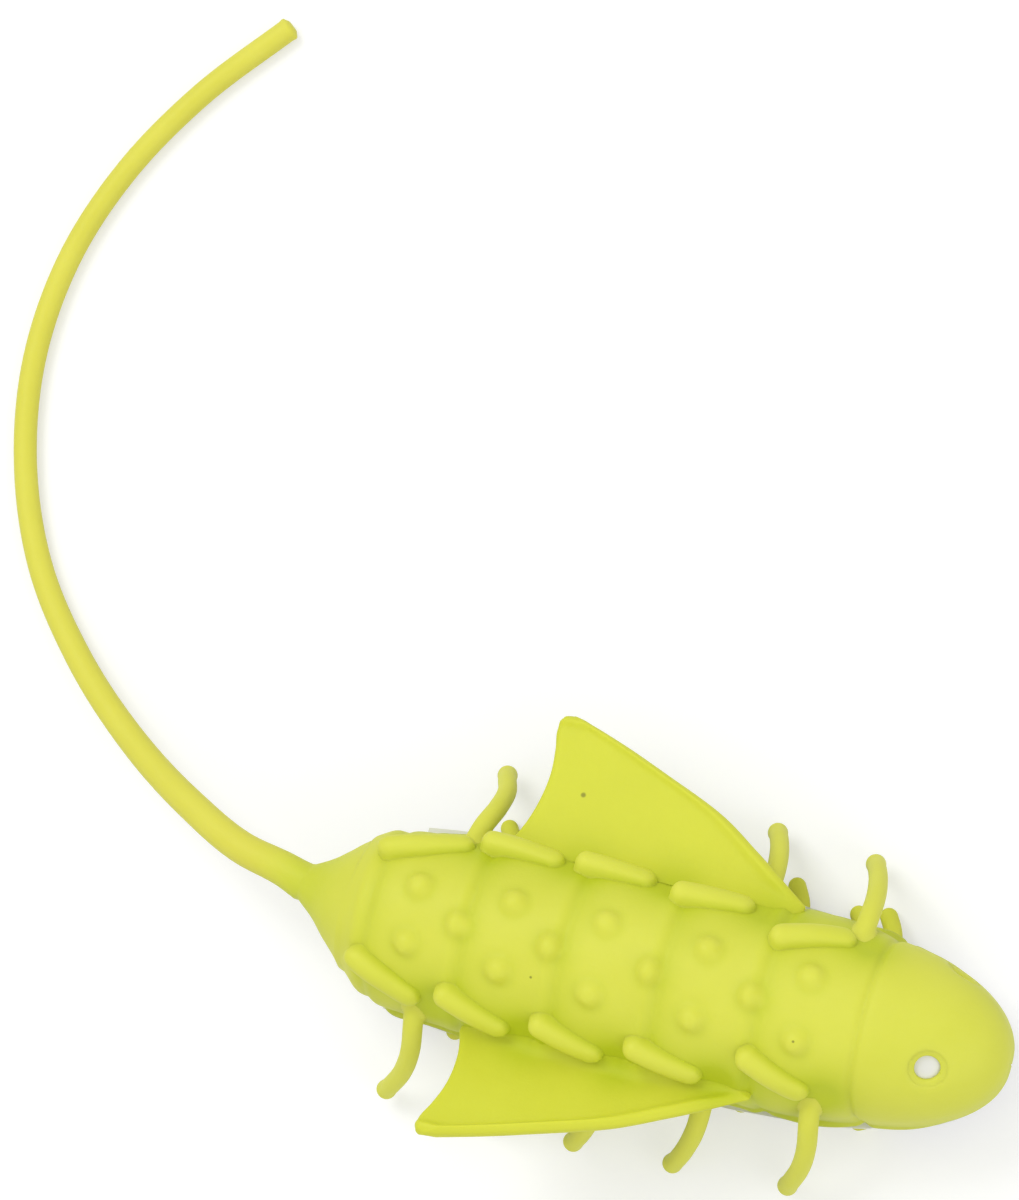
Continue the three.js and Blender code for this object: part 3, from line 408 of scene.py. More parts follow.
def grain_group():
    """Puts out a slow mottling from 0 to 1, sparse specks from 0 to 1, and a grained normal."""
    group = bpy.data.node_groups.new("moulded grain", "ShaderNodeTree")
    face = group.interface
    for name, value in (("Grain Size", 0.0004), ("Grain Depth", 0.1), ("Mottle Size", 0.006),
                        ("Speck Share", 0.02)):
        face.new_socket(name, in_out="INPUT", socket_type="NodeSocketFloat").default_value = value
    for name, kind in (("Mottle", "Float"), ("Specks", "Float"), ("Normal", "Vector")):
        face.new_socket(name, in_out="OUTPUT", socket_type="NodeSocket" + kind)
    inward = add_node(group, "NodeGroupInput")
    outward = add_node(group, "NodeGroupOutput")
    place = add_node(group, "ShaderNodeTexCoord").outputs["Object"]

    def pattern(kind, size_name, **detail):
        """A texture whose scale is 1 over the named size."""
        scale = add_node(group, "ShaderNodeMath", {0: 1.0, 1: inward.outputs[size_name]},
                         operation="DIVIDE")
        return add_node(group, kind, {"Vector": place, "Scale": scale.outputs[0], **detail})

    fine = pattern("ShaderNodeTexNoise", "Grain Size", Detail=4.0, Roughness=0.6)
    slow = pattern("ShaderNodeTexNoise", "Mottle Size", Detail=3.0, Roughness=0.5)
    dots = pattern("ShaderNodeTexVoronoi", "Mottle Size")
    mottle = add_node(group, "ShaderNodeMapRange",
                      {"Value": slow.outputs[0], "From Min": 0.3, "From Max": 0.7})
    specks = add_node(group, "ShaderNodeMath",
                      {0: dots.outputs["Distance"], 1: inward.outputs["Speck Share"]},
                      operation="LESS_THAN")
    bump = add_node(group, "ShaderNodeBump", {"Height": fine.outputs[0], "Distance": 0.0001,
                                              "Strength": inward.outputs["Grain Depth"]})
    for name, node in (("Mottle", mottle), ("Specks", specks), ("Normal", bump)):
        group.links.new(node.outputs[0], outward.inputs[name])
    return group


grain = grain_group()


rough_spread = 0.08


def finish(name, light, dark, roughness, grain_depth=0.1, grain_size=0.0004, mottle_size=0.006,
           speck=None, speck_share=0.0, tints=None, **shader_values):
    """A material whose colour drifts between two tones with the mottling, over a fine grain. Each
    tint multiplies the colour by the share that a point attribute of its name gives. The sizes are
    in metres."""
    material = bpy.data.materials.new(name)
    material.use_nodes = True
    tree = material.node_tree
    shader = tree.nodes["Principled BSDF"]
    cast = add_node(tree, "ShaderNodeGroup", {
        "Grain Size": grain_size, "Grain Depth": grain_depth, "Mottle Size": mottle_size,
        "Speck Share": speck_share}, node_tree=grain)
    colour = mix_colours(tree, cast.outputs["Mottle"], dark, light)
    if speck:
        colour = mix_colours(tree, cast.outputs["Specks"], colour, speck)
    for attribute, tint in (tints or {}).items():
        share = add_node(tree, "ShaderNodeAttribute", attribute_name=attribute)
        colour = mix_colours(tree, share.outputs["Fac"], colour, tint, "MULTIPLY")
    matt = add_node(tree, "ShaderNodeMapRange", {
        "Value": cast.outputs["Mottle"], "To Min": roughness - rough_spread / 2,
        "To Max": roughness + rough_spread / 2})
    tree.links.new(colour, shader.inputs["Base Color"])
    tree.links.new(matt.outputs[0], shader.inputs["Roughness"])
    tree.links.new(cast.outputs["Normal"], shader.inputs["Normal"])
    for key, value in shader_values.items():
        shader.inputs[key.replace("_", " ")].default_value = value
    return material


pinhole_shade = (0.2, 0.2, 0.03)


def pinholes(material, spots, radius):
    """Darkens round dots of that radius about points of the body, most of the way to the shade."""
    tree = material.node_tree
    base = tree.nodes["Principled BSDF"].inputs["Base Color"]
    place = add_node(tree, "ShaderNodeTexCoord")
    for point in spots:
        away = add_node(tree, "ShaderNodeVectorMath",
                        {0: place.outputs["Object"], 1: in_frame(point).tolist()},
                        operation="DISTANCE")
        edge = add_node(tree, "ShaderNodeMapRange", {
            "Value": away.outputs["Value"], "From Min": 0.6 * radius * mm, "From Max": radius * mm,
            "To Min": 0.75, "To Max": 0.0}, interpolation_type="SMOOTHSTEP")
        colour = mix_colours(tree, edge.outputs[0], base.links[0].from_socket, pinhole_shade)
        tree.links.new(colour, base)


soft_rubber = dict(Subsurface_Weight=0.25, Subsurface_Radius=(1.0, 0.9, 0.25),
                   Subsurface_Scale=0.0012, Specular_IOR_Level=0.25)
# The first tint is painted shade, a greener and deeper tone wherever its mask is high; the second warms
# thin rubber.
shade_and_thin_tints = {"hollow": (0.76, 0.84, 0.3), "thin": (1.035, 0.965, 1.1)}
speck_olive = (0.4, 0.4, 0.1)
skin_lime = finish("skin lime rubber", (0.715, 0.735, 0.085), (0.685, 0.705, 0.072), 0.52,
                   grain_depth=0.25, speck=speck_olive, speck_share=0.02, tints=shade_and_thin_tints,
                   **soft_rubber)
# where the mould's gates left a dark dot: station and turn
gate_dots = ((21.64, -0.212), (side_bump_shares[4] * body_length, -0.197))
pinholes(skin_lime, [on_skin(u, v) for u, v in gate_dots], 0.13)


row_step = 0.21
crown_columns = 125
side_columns = 18
wall_columns = 9
lining_columns = 28


def skin_rows():
    """Stations from the nose to the tail tip: by equal angles round the head's end, a row step
    apart on the body and closer at each crease, and wider apart along the tail."""
    fine = np.linspace(0.02, head_start * body_length, 20000)
    density = np.full(fine.shape, 1 / row_step)
    for share in (*crease_shares, head_start):
        density += 9 * hill(fine - share * body_length, 0.3)
    count = np.concatenate([[0], np.cumsum((density[1:] + density[:-1]) / 2 * np.diff(fine))])
    body = np.interp(np.linspace(0, count[-1], int(count[-1])), count, fine)
    angle = np.arange(1, 76) / 76 * math.pi / 2
    head = body_length * (head_start + (nose_share - head_start) * np.sin(angle))
    lip = head_start * body_length + np.array([0.06, 0.12, 0.18, 0.25])
    step = 0.02
    walls = [pocket_start, pocket_start + step, pocket_end, pocket_end + step]
    tip = -tail_length + np.array([0.0, 0.12, 0.26, 0.42, 0.7])
    tail = -np.linspace(0.1, 1, 96) * (tail_length - 1)
    near_root = -np.linspace(0, 0.1, 26)[1:-1] * (tail_length - 1)
    rows = np.unique(np.concatenate([body, head, lip, walls, tip, tail, near_root, [0.0]]))
    keep = np.concatenate([[True], np.diff(rows) > 0.012])
    return rows[keep][::-1]


def skin_hollows(u, v, at):
    """Share of the painted shade, a deeper tone: in front of each ridge, along each crease, on the
    flanks between the wings and the ridges, in a ring round each bump and at the tail root, and down
    to the hem. The bump tops keep little of it, a painted highlight."""
    share = 0.55 * smooth_step(np.abs(v), 0.12, 0.7) * smooth_step(u, 5, 14) * smooth_step(-u, -50, -44)
    share = share + 0.12 * smooth_step(u, 46, 48) * smooth_step(np.abs(v), 0.5, 1)
    share = share + 0.5 * hill(u - 0.5, 3.2) + 0.3 * smooth_step(np.abs(v), 1.1, 1.7)
    for crease in crease_shares:
        share = share + 0.35 * hill(u - crease * body_length - 0.6, 1.1)
    for centre in pocket_spots:
        share = share + 0.85 * hill(away_from(at, centre), 2.2)
    for centre in bump_spots:
        away = away_from(at, centre)
        # bump tops are left lighter, a painted highlight, and a thin ring of painted shade runs round each
        # bump
        share = share * (1 - 0.8 * hill(away, 1.0, 4)) + 0.15 * hill(away - 1.3, 0.4)
    return share * smooth_step(u, -8, -2)


def skin_grid():
    """The whole skin as rows of closed loops: the outer face from the right hem over the crown to
    the left hem, then back below. Between the two ends of the pocket the way back goes up inside
    as the lining, one wall thickness in, and elsewhere it is the flat or round underside."""
    u = skin_rows()[:, None]
    width, _, drop, square, sag = section_sizes(u)
    end_share = np.minimum(0.9999, (axis_height - hem_height) / drop)
    top = np.linspace(-1, 1, crown_columns)[None, :]
    side = np.sin(np.linspace(0, math.pi / 2, side_columns + 1))[None, 1:]
    v = np.concatenate([-1 - (side * end_share)[:, ::-1], top + 0 * u, 1 + side * end_share], 1)
    outer = on_skin(u + 0 * v, v)

    # the last 0.7 mm of the tail swells a little and then ends blunt
    into_tip = np.clip(-u - tail_length + 0.7, 0, 0.7)[..., None]
    blunt = 1 + 0.06 * hill(into_tip - 0.3, 0.25) * (into_tip > 0)
    blunt = blunt - 0.45 * np.clip((into_tip - 0.42) / 0.28, 0, 1)
    at = middle_line(u + 0 * v)[0]
    outer = at + (outer - at) * blunt

    in_width, in_rise, in_drop = section_sizes(u, skin_wall)[:3]
    end_depth = end_share * drop
    hem_outer = lower_width(width, square, end_share)
    wall = np.linspace(0, 1, wall_columns)[None, :]
    wall_depth = np.minimum(end_depth, 0.99 * in_drop) * (1 - wall)
    wall_across = lower_width(in_width, square, wall_depth / np.maximum(in_drop, 0.1))
    arc = np.linspace(0, math.pi, lining_columns)[None, 1:-1]
    hem_middle = (hem_outer + wall_across[:, :1]) / 2
    hem_sag, wall_sag = sag * (1 - end_share), sag * (1 - end_share * (1 - wall))
    across = np.concatenate([hem_middle + hem_sag, wall_across + wall_sag, in_width * np.cos(arc),
                             (wall_sag - wall_across)[:, ::-1], hem_sag - hem_middle], 1)
    up = np.concatenate([-end_depth, -wall_depth, in_rise * np.sin(arc),
                         -wall_depth[:, ::-1], -end_depth], 1)
    flat_across = hem_outer * np.linspace(1, -1, across.shape[1] + 2)[None, 1:-1]
    natural = (1 - np.abs(flat_across / width) ** (2 / square)) ** (square / 2) * drop
    flat_up = -np.minimum(natural, np.maximum(axis_height - hem_height, end_depth))
    inside = (u > pocket_start + 0.005) & (u < pocket_end + 0.005)
    across, up = np.where(inside, across, flat_across), np.where(inside, up, flat_up)
    at, _, left, above = middle_line(u + 0 * across)
    inner = at + across[..., None] * left + up[..., None] * above
    inner = at + (inner - at) * blunt[:, :1]
    # Painted shade shares: the outer face's from the mask above, and half a share all over the underside
    # and lining.
    hollows = np.concatenate([skin_hollows(u + 0 * v, v, plain_skin(u + 0 * v, v)), 0.5 + 0 * up], 1)
    return np.concatenate([outer, inner], 1), hollows, smooth_step(-u, 0, 6) + 0 * hollows


skin_points, hollow_shares, thin_shares = skin_grid()
skin = make_piece("soft_skin_with_tail", [skin_points], skin_lime)
give_shares(skin, hollow=[hollow_shares], thin=[thin_shares])
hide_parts("skin_sleeve", "tail")
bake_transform(skin)


# Flank ridges
# Ten slanting bars, five on each flank, moulded on the skin as grips for a cat's teeth. Each
# stands proud and round at its rear end and sinks towards its front end.

ridge_half_width = 1.0
ridge_rear_proud = 1.3
ridge_front_proud = 0.68


def ridge_grid(rear, front, side):
    """A patch over the skin, along and across the bar, lifted by a bell that falls off with the
    distance from the bar's middle line, and closed below by the same patch inside the wall."""
    u0, u1 = rear[0] * body_length, front[0] * body_length
    v0, v1 = side * rear[1], side * front[1]
    per_turn = float(section_sizes(np.asarray((u0 + u1) / 2))[0]) * math.pi / 2
    run = np.array([u1 - u0, (v1 - v0) * per_turn])
    length = np.linalg.norm(run)
    run /= length
    margin = 1.5 * ridge_half_width
    end_round = 0.85 * ridge_half_width
    along = np.linspace(end_round - margin, length + margin - end_round, 84)[:, None]
    across = ridge_half_width * np.sign(side) * np.concatenate([
        [-1.5, -1.3, -1.15], np.sin(np.linspace(-1, 1, 29) * math.pi / 2), [1.15, 1.3, 1.5]])[None, :]
    u = u0 + along * run[0] - across * run[1]
    v = v0 + (along * run[1] + across * run[0]) / per_turn
    past = np.maximum(np.maximum(end_round - along, along - length + end_round), 0)
    away = np.hypot(past, across) / ridge_half_width
    share = np.clip(along / length, 0, 1)
    proud = ridge_rear_proud + (ridge_front_proud - ridge_rear_proud) * share ** 1.5
    bell = np.sqrt(np.clip(1 - away ** 2.1, 0, 1)) + 0.12 * np.exp(-np.maximum(away - 0.85, 0) / 0.2)
    at, normal = plain_skin(u, v), skin_normal(u, v)
    height = proud * bell - 0.06 + skin_relief(u, v, at) * (1 - smooth_step(bell, 0.05, 0.6))
    top = at + height[..., None] * normal
    below = at - 0.7 * normal
    # painted shade: a deeper tone round the foot of each bar and over its front end, where it sinks into
    # the skin
    hollows = (1 - smooth_step(bell, 0.1, 0.9)) * (0.35 + 0.3 * share) + 0.22 * share
    return np.concatenate([top, below[:, ::-1]], 1), np.concatenate([hollows, hollows[:, ::-1]], 1)


ridge_parts = [ridge_grid(rear, front, side) for side in (1, -1)
               for rear, front in zip(ridge_rear_shares[side], ridge_front_shares[side])]
ridges = make_piece("flank_ridges", [points for points, _ in ridge_parts], skin_lime, "body")
give_shares(ridges, hollow=[hollows for _, hollows in ridge_parts])


# Hooked legs
# Ten soft legs moulded on the flanks at the front of each ridge. They reach out, bend down and
# sweep back, and end a little swollen and blunt where the mould was gated.

hook_radius = 0.81
hook_tip_radius = 0.74
hook_tip_height = 1.5
hook_fillet = 0.4
fillet_steps = 24
fillet_pace = 0.4
# for the five legs from the rear on each flank: where they start along the body and how high, how
# far they sweep back and reach out from the middle, and how far they bow forwards half way
hook_starts = {1: (13.05, 20.4, 28.6, 36.5, 45.15), -1: (11.7, 19.4, 27.4, 35.5, 44.35)}
hook_start_heights = (11.6, 9.2, 9.2, 9.2, 12.0)
hook_sweeps = {1: (1.35, 2.3, 2.4, 2.15, 2.5), -1: (3.35, 3.2, 3.1, 2.95, 2.35)}
hook_reaches = {1: (13.2, 13.5, 13.8, 13.75, 13.1), -1: (13.7, 13.8, 14.1, 13.8, 13.25)}
hook_bows = {1: (0.85, 0.2, 0, 0.1, 0.15), -1: (0.45, 0, 0, 0, 0.4)}
# shares of the sweep back, of the reach outwards and of the fall
hook_route_shares = np.array([[0, 0, 0], [0.02, 0.28, 0.1], [0.16, 0.54, 0.3], [0.45, 0.77, 0.57],
                              [0.75, 0.92, 0.81], [1, 1, 1]])


def tube_grid(route, radii, columns):
    """Circles carried along a route, each square to it, with a radius for each one. The X axis,
    which no leg follows, turns each circle the same way."""
    route = np.asarray(route)
    ahead = np.gradient(route, axis=0)
    ahead /= np.linalg.norm(ahead, axis=1, keepdims=True)
    first = np.cross([1.0, 0.0, 0.0], ahead)
    first /= np.linalg.norm(first, axis=1, keepdims=True)
    second = np.cross(ahead, first)
    turn = np.arange(columns) / columns * 2 * math.pi
    ring = (np.cos(turn)[None, :, None] * first[:, None] + np.sin(turn)[None, :, None] * second[:, None])
    return route[:, None] + np.asarray(radii)[:, None, None] * ring


def hook_grid(index, side):
    """A round leg along its route, with a slightly swollen, blunt tip. A round fillet joins it to
    the skin, worked out step by step from the distance to the finished skin."""
    station = hook_starts[side][index]
    start_height = hook_start_heights[index]
    width, height = (float(size) for size in section_sizes(np.asarray(station))[:2])
    inner = width * math.sqrt(1 - ((start_height - axis_height) / height) ** 2) - skin_wall - 0.15
    reach = hook_reaches[side][index] - inner
    fall = start_height - hook_tip_height
    shares = hook_route_shares
    bow = hook_bows[side][index] * np.sin(math.pi * np.clip(shares[:, 2] * 1.1, 0, 1))
    points = np.stack([station - shares[:, 0] * hook_sweeps[side][index] + bow,
                       side * (inner + shares[:, 1] * reach),
                       start_height - shares[:, 2] * fall], -1)
    route, run = route_of(points, 400)
    # many rows in the fillet, few along the leg and more at its tip
    keep = np.concatenate([np.arange(0, 60), np.arange(60, 380, 7), np.arange(380, 400, 2), [399]])
    route, run = route[keep], run[keep]
    left = run[-1] - run
    radii = hook_radius + (hook_tip_radius - hook_radius) * run / run[-1]
    radii = radii + 0.07 * hill(left - 0.5, 0.5)
    radii = radii * (1 - 0.42 * np.clip(1 - left / 0.32, 0, 1) ** 1.5)
    plain = tube_grid(route, radii, 24)
    outwards = (plain - route[:, None]) / radii[:, None, None]
    fillet = np.zeros(plain.shape[:2])
    for _ in range(fillet_steps):
        points = plain + fillet[..., None] * outwards
        wanted = fillet_height(off_skin(*np.moveaxis(points, -1, 0)), hook_fillet)
        fillet = (1 - fillet_pace) * fillet + fillet_pace * wanted
    return points


hook_points = [hook_grid(index, side) for side in (1, -1) for index in range(5)]
hooks = make_piece("hooked_legs", hook_points, skin_lime, "body")
give_shares(hooks, thin=[0.2 + 0 * points[..., 0] for points in hook_points])


# Wings
# Two thin swept wings of the same rubber, moulded on the flanks, with a round bead along the
# leading edge.

wing_span = 10.6
wing_plate_half = 0.36
wing_bead_half = 0.64
wing_root_start = 16.2
wing_root_length = 24.0
wing_axis_y = body_half_width - 0.1
wing_root_height = 11.2
wing_fillet = 1.5
# the rest pose differs from side to side: how far each wing is lifted and swept back, and how its
# root is shifted and climbs to the front
wing_lifts = {1: math.radians(-8), -1: math.radians(40)}
wing_sweeps = {1: 0.7, -1: -0.1}
wing_root_shifts = {1: 0, -1: -0.4}
wing_root_climbs = {1: 0, -1: 1.0}
# shares of the span, then the rear and the leading edge as shares of the root length
wing_edge_shares = np.array([
    [0.0, 0.0, 1.0], [0.12, 0.02, 0.92], [0.32, 0.038, 0.785], [0.545, 0.04, 0.615],
    [0.72, 0.026, 0.42], [0.88, 0.008, 0.23], [0.96, 0.012, 0.12], [0.99, 0.028, 0.075],
    [1.0, 0.05, 0.05],
])


def wing_grid(side):
    """Closed loops round the wing's section, from its root to its tip. Each goes over the top from
    the rear edge to the leading edge and back below; the half thickness is round at both edges
    and fuller in a bead along the leading edge. A round fillet joins it to the skin: it is worked
    out step by step from the distance to the finished skin."""
    out = np.concatenate([np.linspace(-0.1, 0.2, 60)[:-1], np.linspace(0.2, 0.9, 42)[:-1],
                          0.9 + 0.1 * np.sin(np.linspace(0, 1, 22) * math.pi / 2)])[:, None]
    within = np.clip(out, 0, 1)
    rear = smooth_through(within, wing_edge_shares[:, 0], wing_edge_shares[:, 1])
    lead = np.maximum(smooth_through(within, wing_edge_shares[:, 0], wing_edge_shares[:, 2]), rear)
    rear, lead = rear * wing_root_length, lead * wing_root_length
    chord = lead - rear
    turn = np.linspace(0, 2 * math.pi, 97)[None, :-1]
    share = (1 - np.cos(turn)) / 2
    over = np.where(turn < math.pi, 1.0, -1.0)
    along = rear + share * chord
    tip_gap = (1 - within) * wing_span
    from_rear = np.minimum(along - rear, tip_gap)
    # the leading edge runs aslant, so it is nearer than along the chord
    from_lead = (lead - along) * 0.55
    near = np.minimum(from_rear, from_lead)
    in_bead = hill(np.minimum(from_lead, tip_gap) - 0.5, 0.42)
    thick = wing_plate_half + (wing_bead_half - wing_plate_half) * in_bead
    thick = thick * np.sqrt(1 - (1 - np.clip(near / 0.5, 0, 1)) ** 2)
    thick = thick * (1 - 0.45 * hill(within, 0.1) * smooth_step(share, 0.7, 1))
    camber = -0.5 * within ** 2 + 0.25 * within * share
    reach = out * wing_span
    lift = wing_lifts[side]
    x = wing_root_start + wing_root_shifts[side] + along + within * wing_sweeps[side]
    climb = wing_root_climbs[side] * (along / wing_root_length) ** 2
    fillet = 0 * thick
    for _ in range(fillet_steps):
        rise = over * (thick + fillet) + camber
        y = wing_axis_y - 0.35 * climb + reach * math.cos(lift) - rise * math.sin(lift)
        z = wing_root_height + climb + reach * math.sin(lift) + rise * math.cos(lift)
        wanted = fillet_height(off_skin(x + 0 * y, side * y, z), wing_fillet)
        wanted = wanted * np.clip(4 * share * (1 - share), 0, 1) ** 0.7
        fillet = (1 - fillet_pace) * fillet + fillet_pace * wanted
    return np.stack([x, side * y, z], -1)


def wing_hollows(points):
    """Share of the painted shade on a wing, deepest in the skin's pockets that its root runs through."""
    share = 0 * points[..., 0]
    for centre in pocket_spots:
        share = share + 0.9 * hill(away_from(points, centre), 2.3)
    return share


# The wings' rubber is painted a little darker and less blue than the skin's: painted shade against the
# light and reflection that the flat wings catch.
wing_shaded_lime = finish("wing lime rubber", (0.685, 0.71, 0.055), (0.66, 0.685, 0.047), 0.56,
                   grain_depth=0.25, speck=speck_olive, speck_share=0.015, tints=shade_and_thin_tints,
                   **soft_rubber)
wing_gate_dot = (20.7, 12.35, 10.7)
pinholes(wing_shaded_lime, [wing_gate_dot], 0.32)
for name, side in (("left", 1), ("right", -1)):
    wing_points = wing_grid(side)
    wing = make_piece(name + "_wing_soft", [wing_points], wing_shaded_lime)
    give_shares(wing, hollow=[wing_hollows(wing_points)])
    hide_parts(name + "_wing")
    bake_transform(wing)


# Eyes
# The capsule's white shell shows through a round hole on each side of the head, in a shallow
# countersink of the skin. The near one looks up, because the soft head sits twisted on its shell.

eye_hole_radius = 1.04
eye_dome_radius = 1.22
eye_dome_sunk = 0.74
eye_plug_depth = 1.5
eye_dome_rise = 0.12


def eye_rim_grid(turn):
    """A ring of rubber round the hole: rows round it, each a closed loop that follows the skin
    inwards down the countersink, rolls into the hole and returns inside the wall."""
    step = 0.01
    here = spot(eye_station, turn)
    per_u = np.linalg.norm(spot(eye_station + step, turn) - here) / step
    per_v = np.linalg.norm(spot(eye_station, turn + step) - here) / step
    radius = eye_hole_radius + np.array([1.46, 1.26, 1.14, 1.06, 1.01, 0.94, 0.76, 0.56, 0.36, 0.21,
                                         0.11, 0.05, 0.01, 0, 0.02, 0.16, 0.76, 1.26])
    height = 0.014 - countersink_depth(radius)
    height[:2] = -0.08, -0.01
    height[9:] = -0.16, -0.19, -0.24, -0.32, -0.44, -0.56, -0.6, -0.5, -0.3
    angle = np.arange(64)[:, None] / 64 * 2 * math.pi
    u = eye_station + radius * np.cos(angle) / per_u
    v = turn + radius * np.sin(angle) / per_v
    return plain_skin(u, v) + (height + 0 * angle)[..., None] * skin_normal(u, v)


def eye_dome_grid(turn):
    """A shallow dome of the white shell: a plug, then circles about the eye's normal that shrink and
    rise to its crown as an ellipse does."""
    centre = spot(eye_station, turn)
    normal = skin_normal(np.array([eye_station]), np.array([turn]))[0]
    first = np.cross(normal, [0.0, 0.0, 1.0])
    first /= np.linalg.norm(first)
    second = np.cross(normal, first)
    angle = np.arange(40) / 40 * 2 * math.pi
    ring = np.cos(angle)[:, None] * first + np.sin(angle)[:, None] * second
    slope = np.linspace(0, math.pi / 2, 12)[:-1]
    radius = np.concatenate([[eye_dome_radius - 0.07], eye_dome_radius * np.cos(slope)])
    height = np.concatenate([[-eye_plug_depth], eye_dome_rise * np.sin(slope) - eye_dome_sunk])
    return centre + radius[:, None, None] * ring + height[:, None, None] * normal


eye_rims = make_piece("eye_rims", [eye_rim_grid(turn) for turn in eye_turns], skin_lime, "body",
                      joined_ends=True)
capsule_white = finish("satin white plastic", (0.82, 0.82, 0.78), (0.78, 0.78, 0.74), 0.38,
                       grain_depth=0.05, mottle_size=0.01, Specular_IOR_Level=0.45)
eye_domes = make_piece("eye_domes", [eye_dome_grid(turn) for turn in eye_turns], capsule_white, "body")


# Driving legs
# Two strips of rubber pushed into grooves under the rim, each with seven short legs that slant
# back and out to round feet. The shaking motor makes them hop forwards.

leg_shares = {1: (0.218, 0.317, 0.42, 0.524, 0.63, 0.722, 0.763),
              -1: (0.214, 0.317, 0.42, 0.524, 0.628, 0.717, 0.79)}
leg_radius = 0.72
leg_outs = {1: (2.2, 2.05, 2.2, 2.2, 2.75, 1.95, 2.65), -1: (0.9, 0.9, 0.9, 0.9, 0.6, 0.5, 0.75)}
leg_back = 1.4
strip_inset = 0.8
strip_half_width = 0.65
strip_top = 3.35
strip_low = 2.35


def strip_grid(side):
    """A rounded rectangle, a power ellipse, carried along the body's edge and drawn in at its
    ends."""
    start = leg_shares[side][0] * body_length - 2 * leg_radius + leg_back
    end = leg_shares[side][-1] * body_length + 2 * leg_radius + leg_back
    along = np.linspace(start, end, 60)
    middle = section_sizes(along)[0] - strip_inset
    turn = np.arange(20) / 20 * 2 * math.pi
    across, up = (np.sign(part) * np.abs(part) ** 0.35 for part in (np.cos(turn), np.sin(turn)))
    across, up = strip_half_width * across, (strip_top - strip_low) / 2 * up
    shrink = np.sqrt(1 - np.abs(np.linspace(-1, 1, 60)) ** 24)[:, None] * 0.9 + 0.1
    return np.stack([along[:, None] + 0 * across, side * (middle[:, None] + across * shrink),
                     (strip_top + strip_low) / 2 + up * shrink], -1)


def driving_leg_grid(share, side, out):
    """A round leg with a ball foot, pressed flat where it meets the floor."""
    root = share * body_length + leg_back
    y = float(section_sizes(np.asarray(root))[0]) - strip_inset
    foot_height = leg_radius * 0.86
    points = np.array([[root, y, strip_low + 0.3], [root - 0.45 * leg_back, y + 0.6 * out, 1.55],
                       [root - leg_back, y + out, foot_height]])
    route, run = route_of(points, 16)
    radii = leg_radius + 0.25 * hill(run, 0.4)
    end = route[-1] - route[-2]
    end /= np.linalg.norm(end)
    angle = np.linspace(0, math.pi / 2, 9)[1:-1]
    cap = route[-1] + leg_radius * np.sin(angle)[:, None] * end
    grid = tube_grid(np.concatenate([route, cap]), np.concatenate([radii, leg_radius * np.cos(angle)]), 20)
    grid[..., 1] *= side
    grid[..., 2] = np.maximum(grid[..., 2], 0)
    return grid


leg_lime = finish("leg lime rubber", (0.71, 0.73, 0.07), (0.68, 0.7, 0.06), 0.6, **soft_rubber)
for name, side in (("left", 1), ("right", -1)):
    legs = make_piece(name + "_driving_legs",
                      [strip_grid(side)] + [driving_leg_grid(share, side, out)
                                            for share, out in zip(leg_shares[side], leg_outs[side])],
                      leg_lime, "body")
    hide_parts(name + "_leg_strip")


# Capsule and what it holds
# The hard shell is moulded white plastic in two halves held by two screws. The door, cell, switch,
# board, leads and motor keep the shapes of the CAD model and get their real finishes here.

screw_steel = finish("plated screw steel", (0.6, 0.61, 0.63), (0.5, 0.51, 0.53), 0.3,
                     grain_size=0.0002, mottle_size=0.001, Metallic=1.0)
cell_steel = finish("bright nickel plate", (0.68, 0.69, 0.7), (0.58, 0.59, 0.6), 0.22,
                    grain_size=0.0002, mottle_size=0.003, Metallic=1.0)
brass = finish("rolled brass", (0.66, 0.48, 0.2), (0.55, 0.39, 0.15), 0.33, grain_size=0.0002,
               mottle_size=0.002, Metallic=1.0)
black_plastic = finish("black plastic", (0.025, 0.026, 0.028), (0.018, 0.018, 0.02), 0.45)
board_green = finish("green board lacquer", (0.02, 0.16, 0.05), (0.012, 0.11, 0.035), 0.35,
                     mottle_size=0.002)
red_cover = finish("red lead cover", (0.5, 0.025, 0.02), (0.42, 0.02, 0.015), 0.45)
black_cover = finish("black lead cover", (0.02, 0.02, 0.02), (0.014, 0.014, 0.014), 0.45)
magnet_grey = finish("ground magnet", (0.12, 0.12, 0.125), (0.08, 0.08, 0.085), 0.55)
copper = finish("wound copper", (0.55, 0.24, 0.1), (0.42, 0.17, 0.06), 0.4, grain_size=0.0002,
                mottle_size=0.001, Metallic=1.0)
weight_grey = finish("sintered weight metal", (0.3, 0.29, 0.28), (0.22, 0.215, 0.21), 0.5,
                     grain_depth=0.4, grain_size=0.0002, Metallic=1.0)
node_finishes = {
    "capsule_upper": capsule_white, "capsule_lower": capsule_white, "battery_door": capsule_white,
    "battery_door_screw": screw_steel, "capsule_screw_rear": screw_steel,
    "capsule_screw_front": screw_steel, "button_cell": cell_steel, "cell_plus_contact": brass,
    "cell_minus_contact": brass, "switch_housing": black_plastic, "switch_slider": black_plastic,
    "circuit_board": board_green, "red_lead": red_cover, "black_lead": black_cover,
    "motor_can": cell_steel, "motor_end_cap": black_plastic, "motor_magnet": magnet_grey,
    "motor_rotor": copper, "motor_shaft": screw_steel, "motor_bush": brass,
    "motor_clip": screw_steel, "eccentric_weight": weight_grey,
}
for name, material in node_finishes.items():
    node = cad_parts[name]
    node.data.materials.clear()
    node.data.materials.append(material)


# Studio
# A white sweep under soft light from the upper left of the picture, and a long lens that looks
# down on the back from a little in front of the head.

floor_reach = 3.0
floor_mesh = bpy.data.meshes.new("floor")
floor_mesh.from_pydata([(floor_reach * x, floor_reach * y, 0)
                        for x, y in ((-1, -1), (1, -1), (1, 1), (-1, 1))], [], [(0, 1, 2, 3)])
floor = bpy.data.objects.new("floor", floor_mesh)
bpy.context.scene.collection.objects.link(floor)


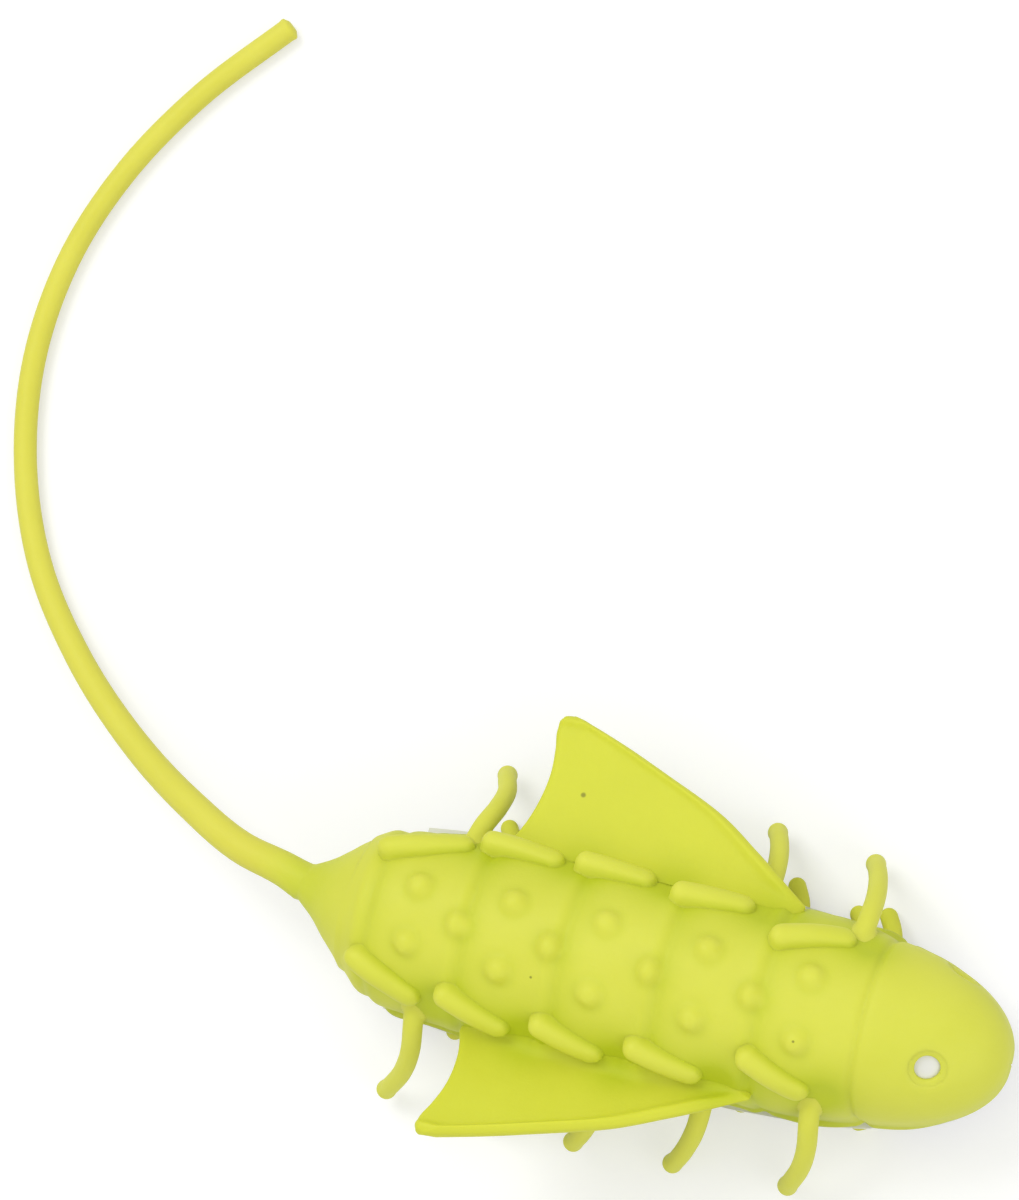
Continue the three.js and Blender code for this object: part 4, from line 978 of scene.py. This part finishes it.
def white_where_seen(tree, shader, strength):
    """Adds a plain glow to a shader for camera, glossy and transmitted rays alone."""
    path = add_node(tree, "ShaderNodeLightPath")
    seen = path.outputs["Is Camera Ray"]
    for ray in ("Is Glossy Ray", "Is Transmission Ray"):
        seen = add_node(tree, "ShaderNodeMath", {0: seen, 1: path.outputs[ray]},
                        operation="MAXIMUM").outputs[0]
    level = add_node(tree, "ShaderNodeMath", {0: seen, 1: strength}, operation="MULTIPLY")
    glow = add_node(tree, "ShaderNodeEmission", {"Strength": level.outputs[0]})
    total = add_node(tree, "ShaderNodeAddShader", {0: shader.outputs[0], 1: glow.outputs[0]})
    return total.outputs[0]


paper_glow = 0.44
paper = bpy.data.materials.new("white sweep")
paper.use_nodes = True
paper_tree = paper.node_tree
paper_tree.nodes.clear()
matt_white = add_node(paper_tree, "ShaderNodeBsdfDiffuse", {"Color": (0.62, 0.62, 0.62, 1)})
add_node(paper_tree, "ShaderNodeOutputMaterial",
         {"Surface": white_where_seen(paper_tree, matt_white, paper_glow)})
floor_mesh.materials.append(paper)

world = bpy.data.worlds.new("studio")
world.use_nodes = True
bpy.context.scene.world = world
sky = world.node_tree.nodes["Background"]
ambient = 0.73
sky.inputs["Color"].default_value = (1, 1, 1, 1)
sky.inputs["Strength"].default_value = ambient
world_out = world.node_tree.nodes["World Output"]
world.node_tree.links.new(white_where_seen(world.node_tree, sky, 1 - ambient), world_out.inputs["Surface"])

# what the lamps face and the camera looks at
toy_middle = Vector(in_frame([10.1, 26.3, 8.0]).tolist())


def lamp(name, direction, distance, size, power):
    """A square soft lamp that faces the toy from that direction."""
    light = bpy.data.lights.new(name, "AREA")
    light.size = size
    light.energy = power
    holder = bpy.data.objects.new(name, light)
    way = Vector(direction).normalized()
    holder.location = toy_middle + way * distance
    holder.rotation_euler = way.to_track_quat("Z", "Y").to_euler()
    bpy.context.scene.collection.objects.link(holder)


lamp("key softbox", (-0.45, 0.35, 1.0), 0.9, 0.45, 2.55)
lamp("fill softbox", (1.0, -0.5, 0.7), 1.1, 0.8, 2.4)

# The camera stands 461 mm away, leaning 17 degrees from straight above.
lean = math.radians(16.9)
heading = math.radians(-18.5)
roll = math.radians(14.4)
camera_distance = 0.4611
back = Vector((math.sin(lean) * math.cos(heading), math.sin(lean) * math.sin(heading), math.cos(lean)))
up_picture = (Vector((0, 1, 0)) - back * back.y).normalized()
right_picture = up_picture.cross(back)
right = right_picture * math.cos(roll) + up_picture * math.sin(roll)
up = up_picture * math.cos(roll) - right_picture * math.sin(roll)
lens = bpy.data.cameras.new("camera")
lens.lens = 174.15
lens.sensor_width = 36
lens.clip_start = 0.01
lens.clip_end = 20
camera = bpy.data.objects.new("camera", lens)
turned = Matrix((right, up, back)).transposed().to_4x4()
camera.matrix_world = Matrix.Translation(toy_middle + back * camera_distance) @ turned
bpy.context.scene.collection.objects.link(camera)
bpy.context.scene.camera = camera
bpy.context.scene.view_settings.view_transform = "Standard"
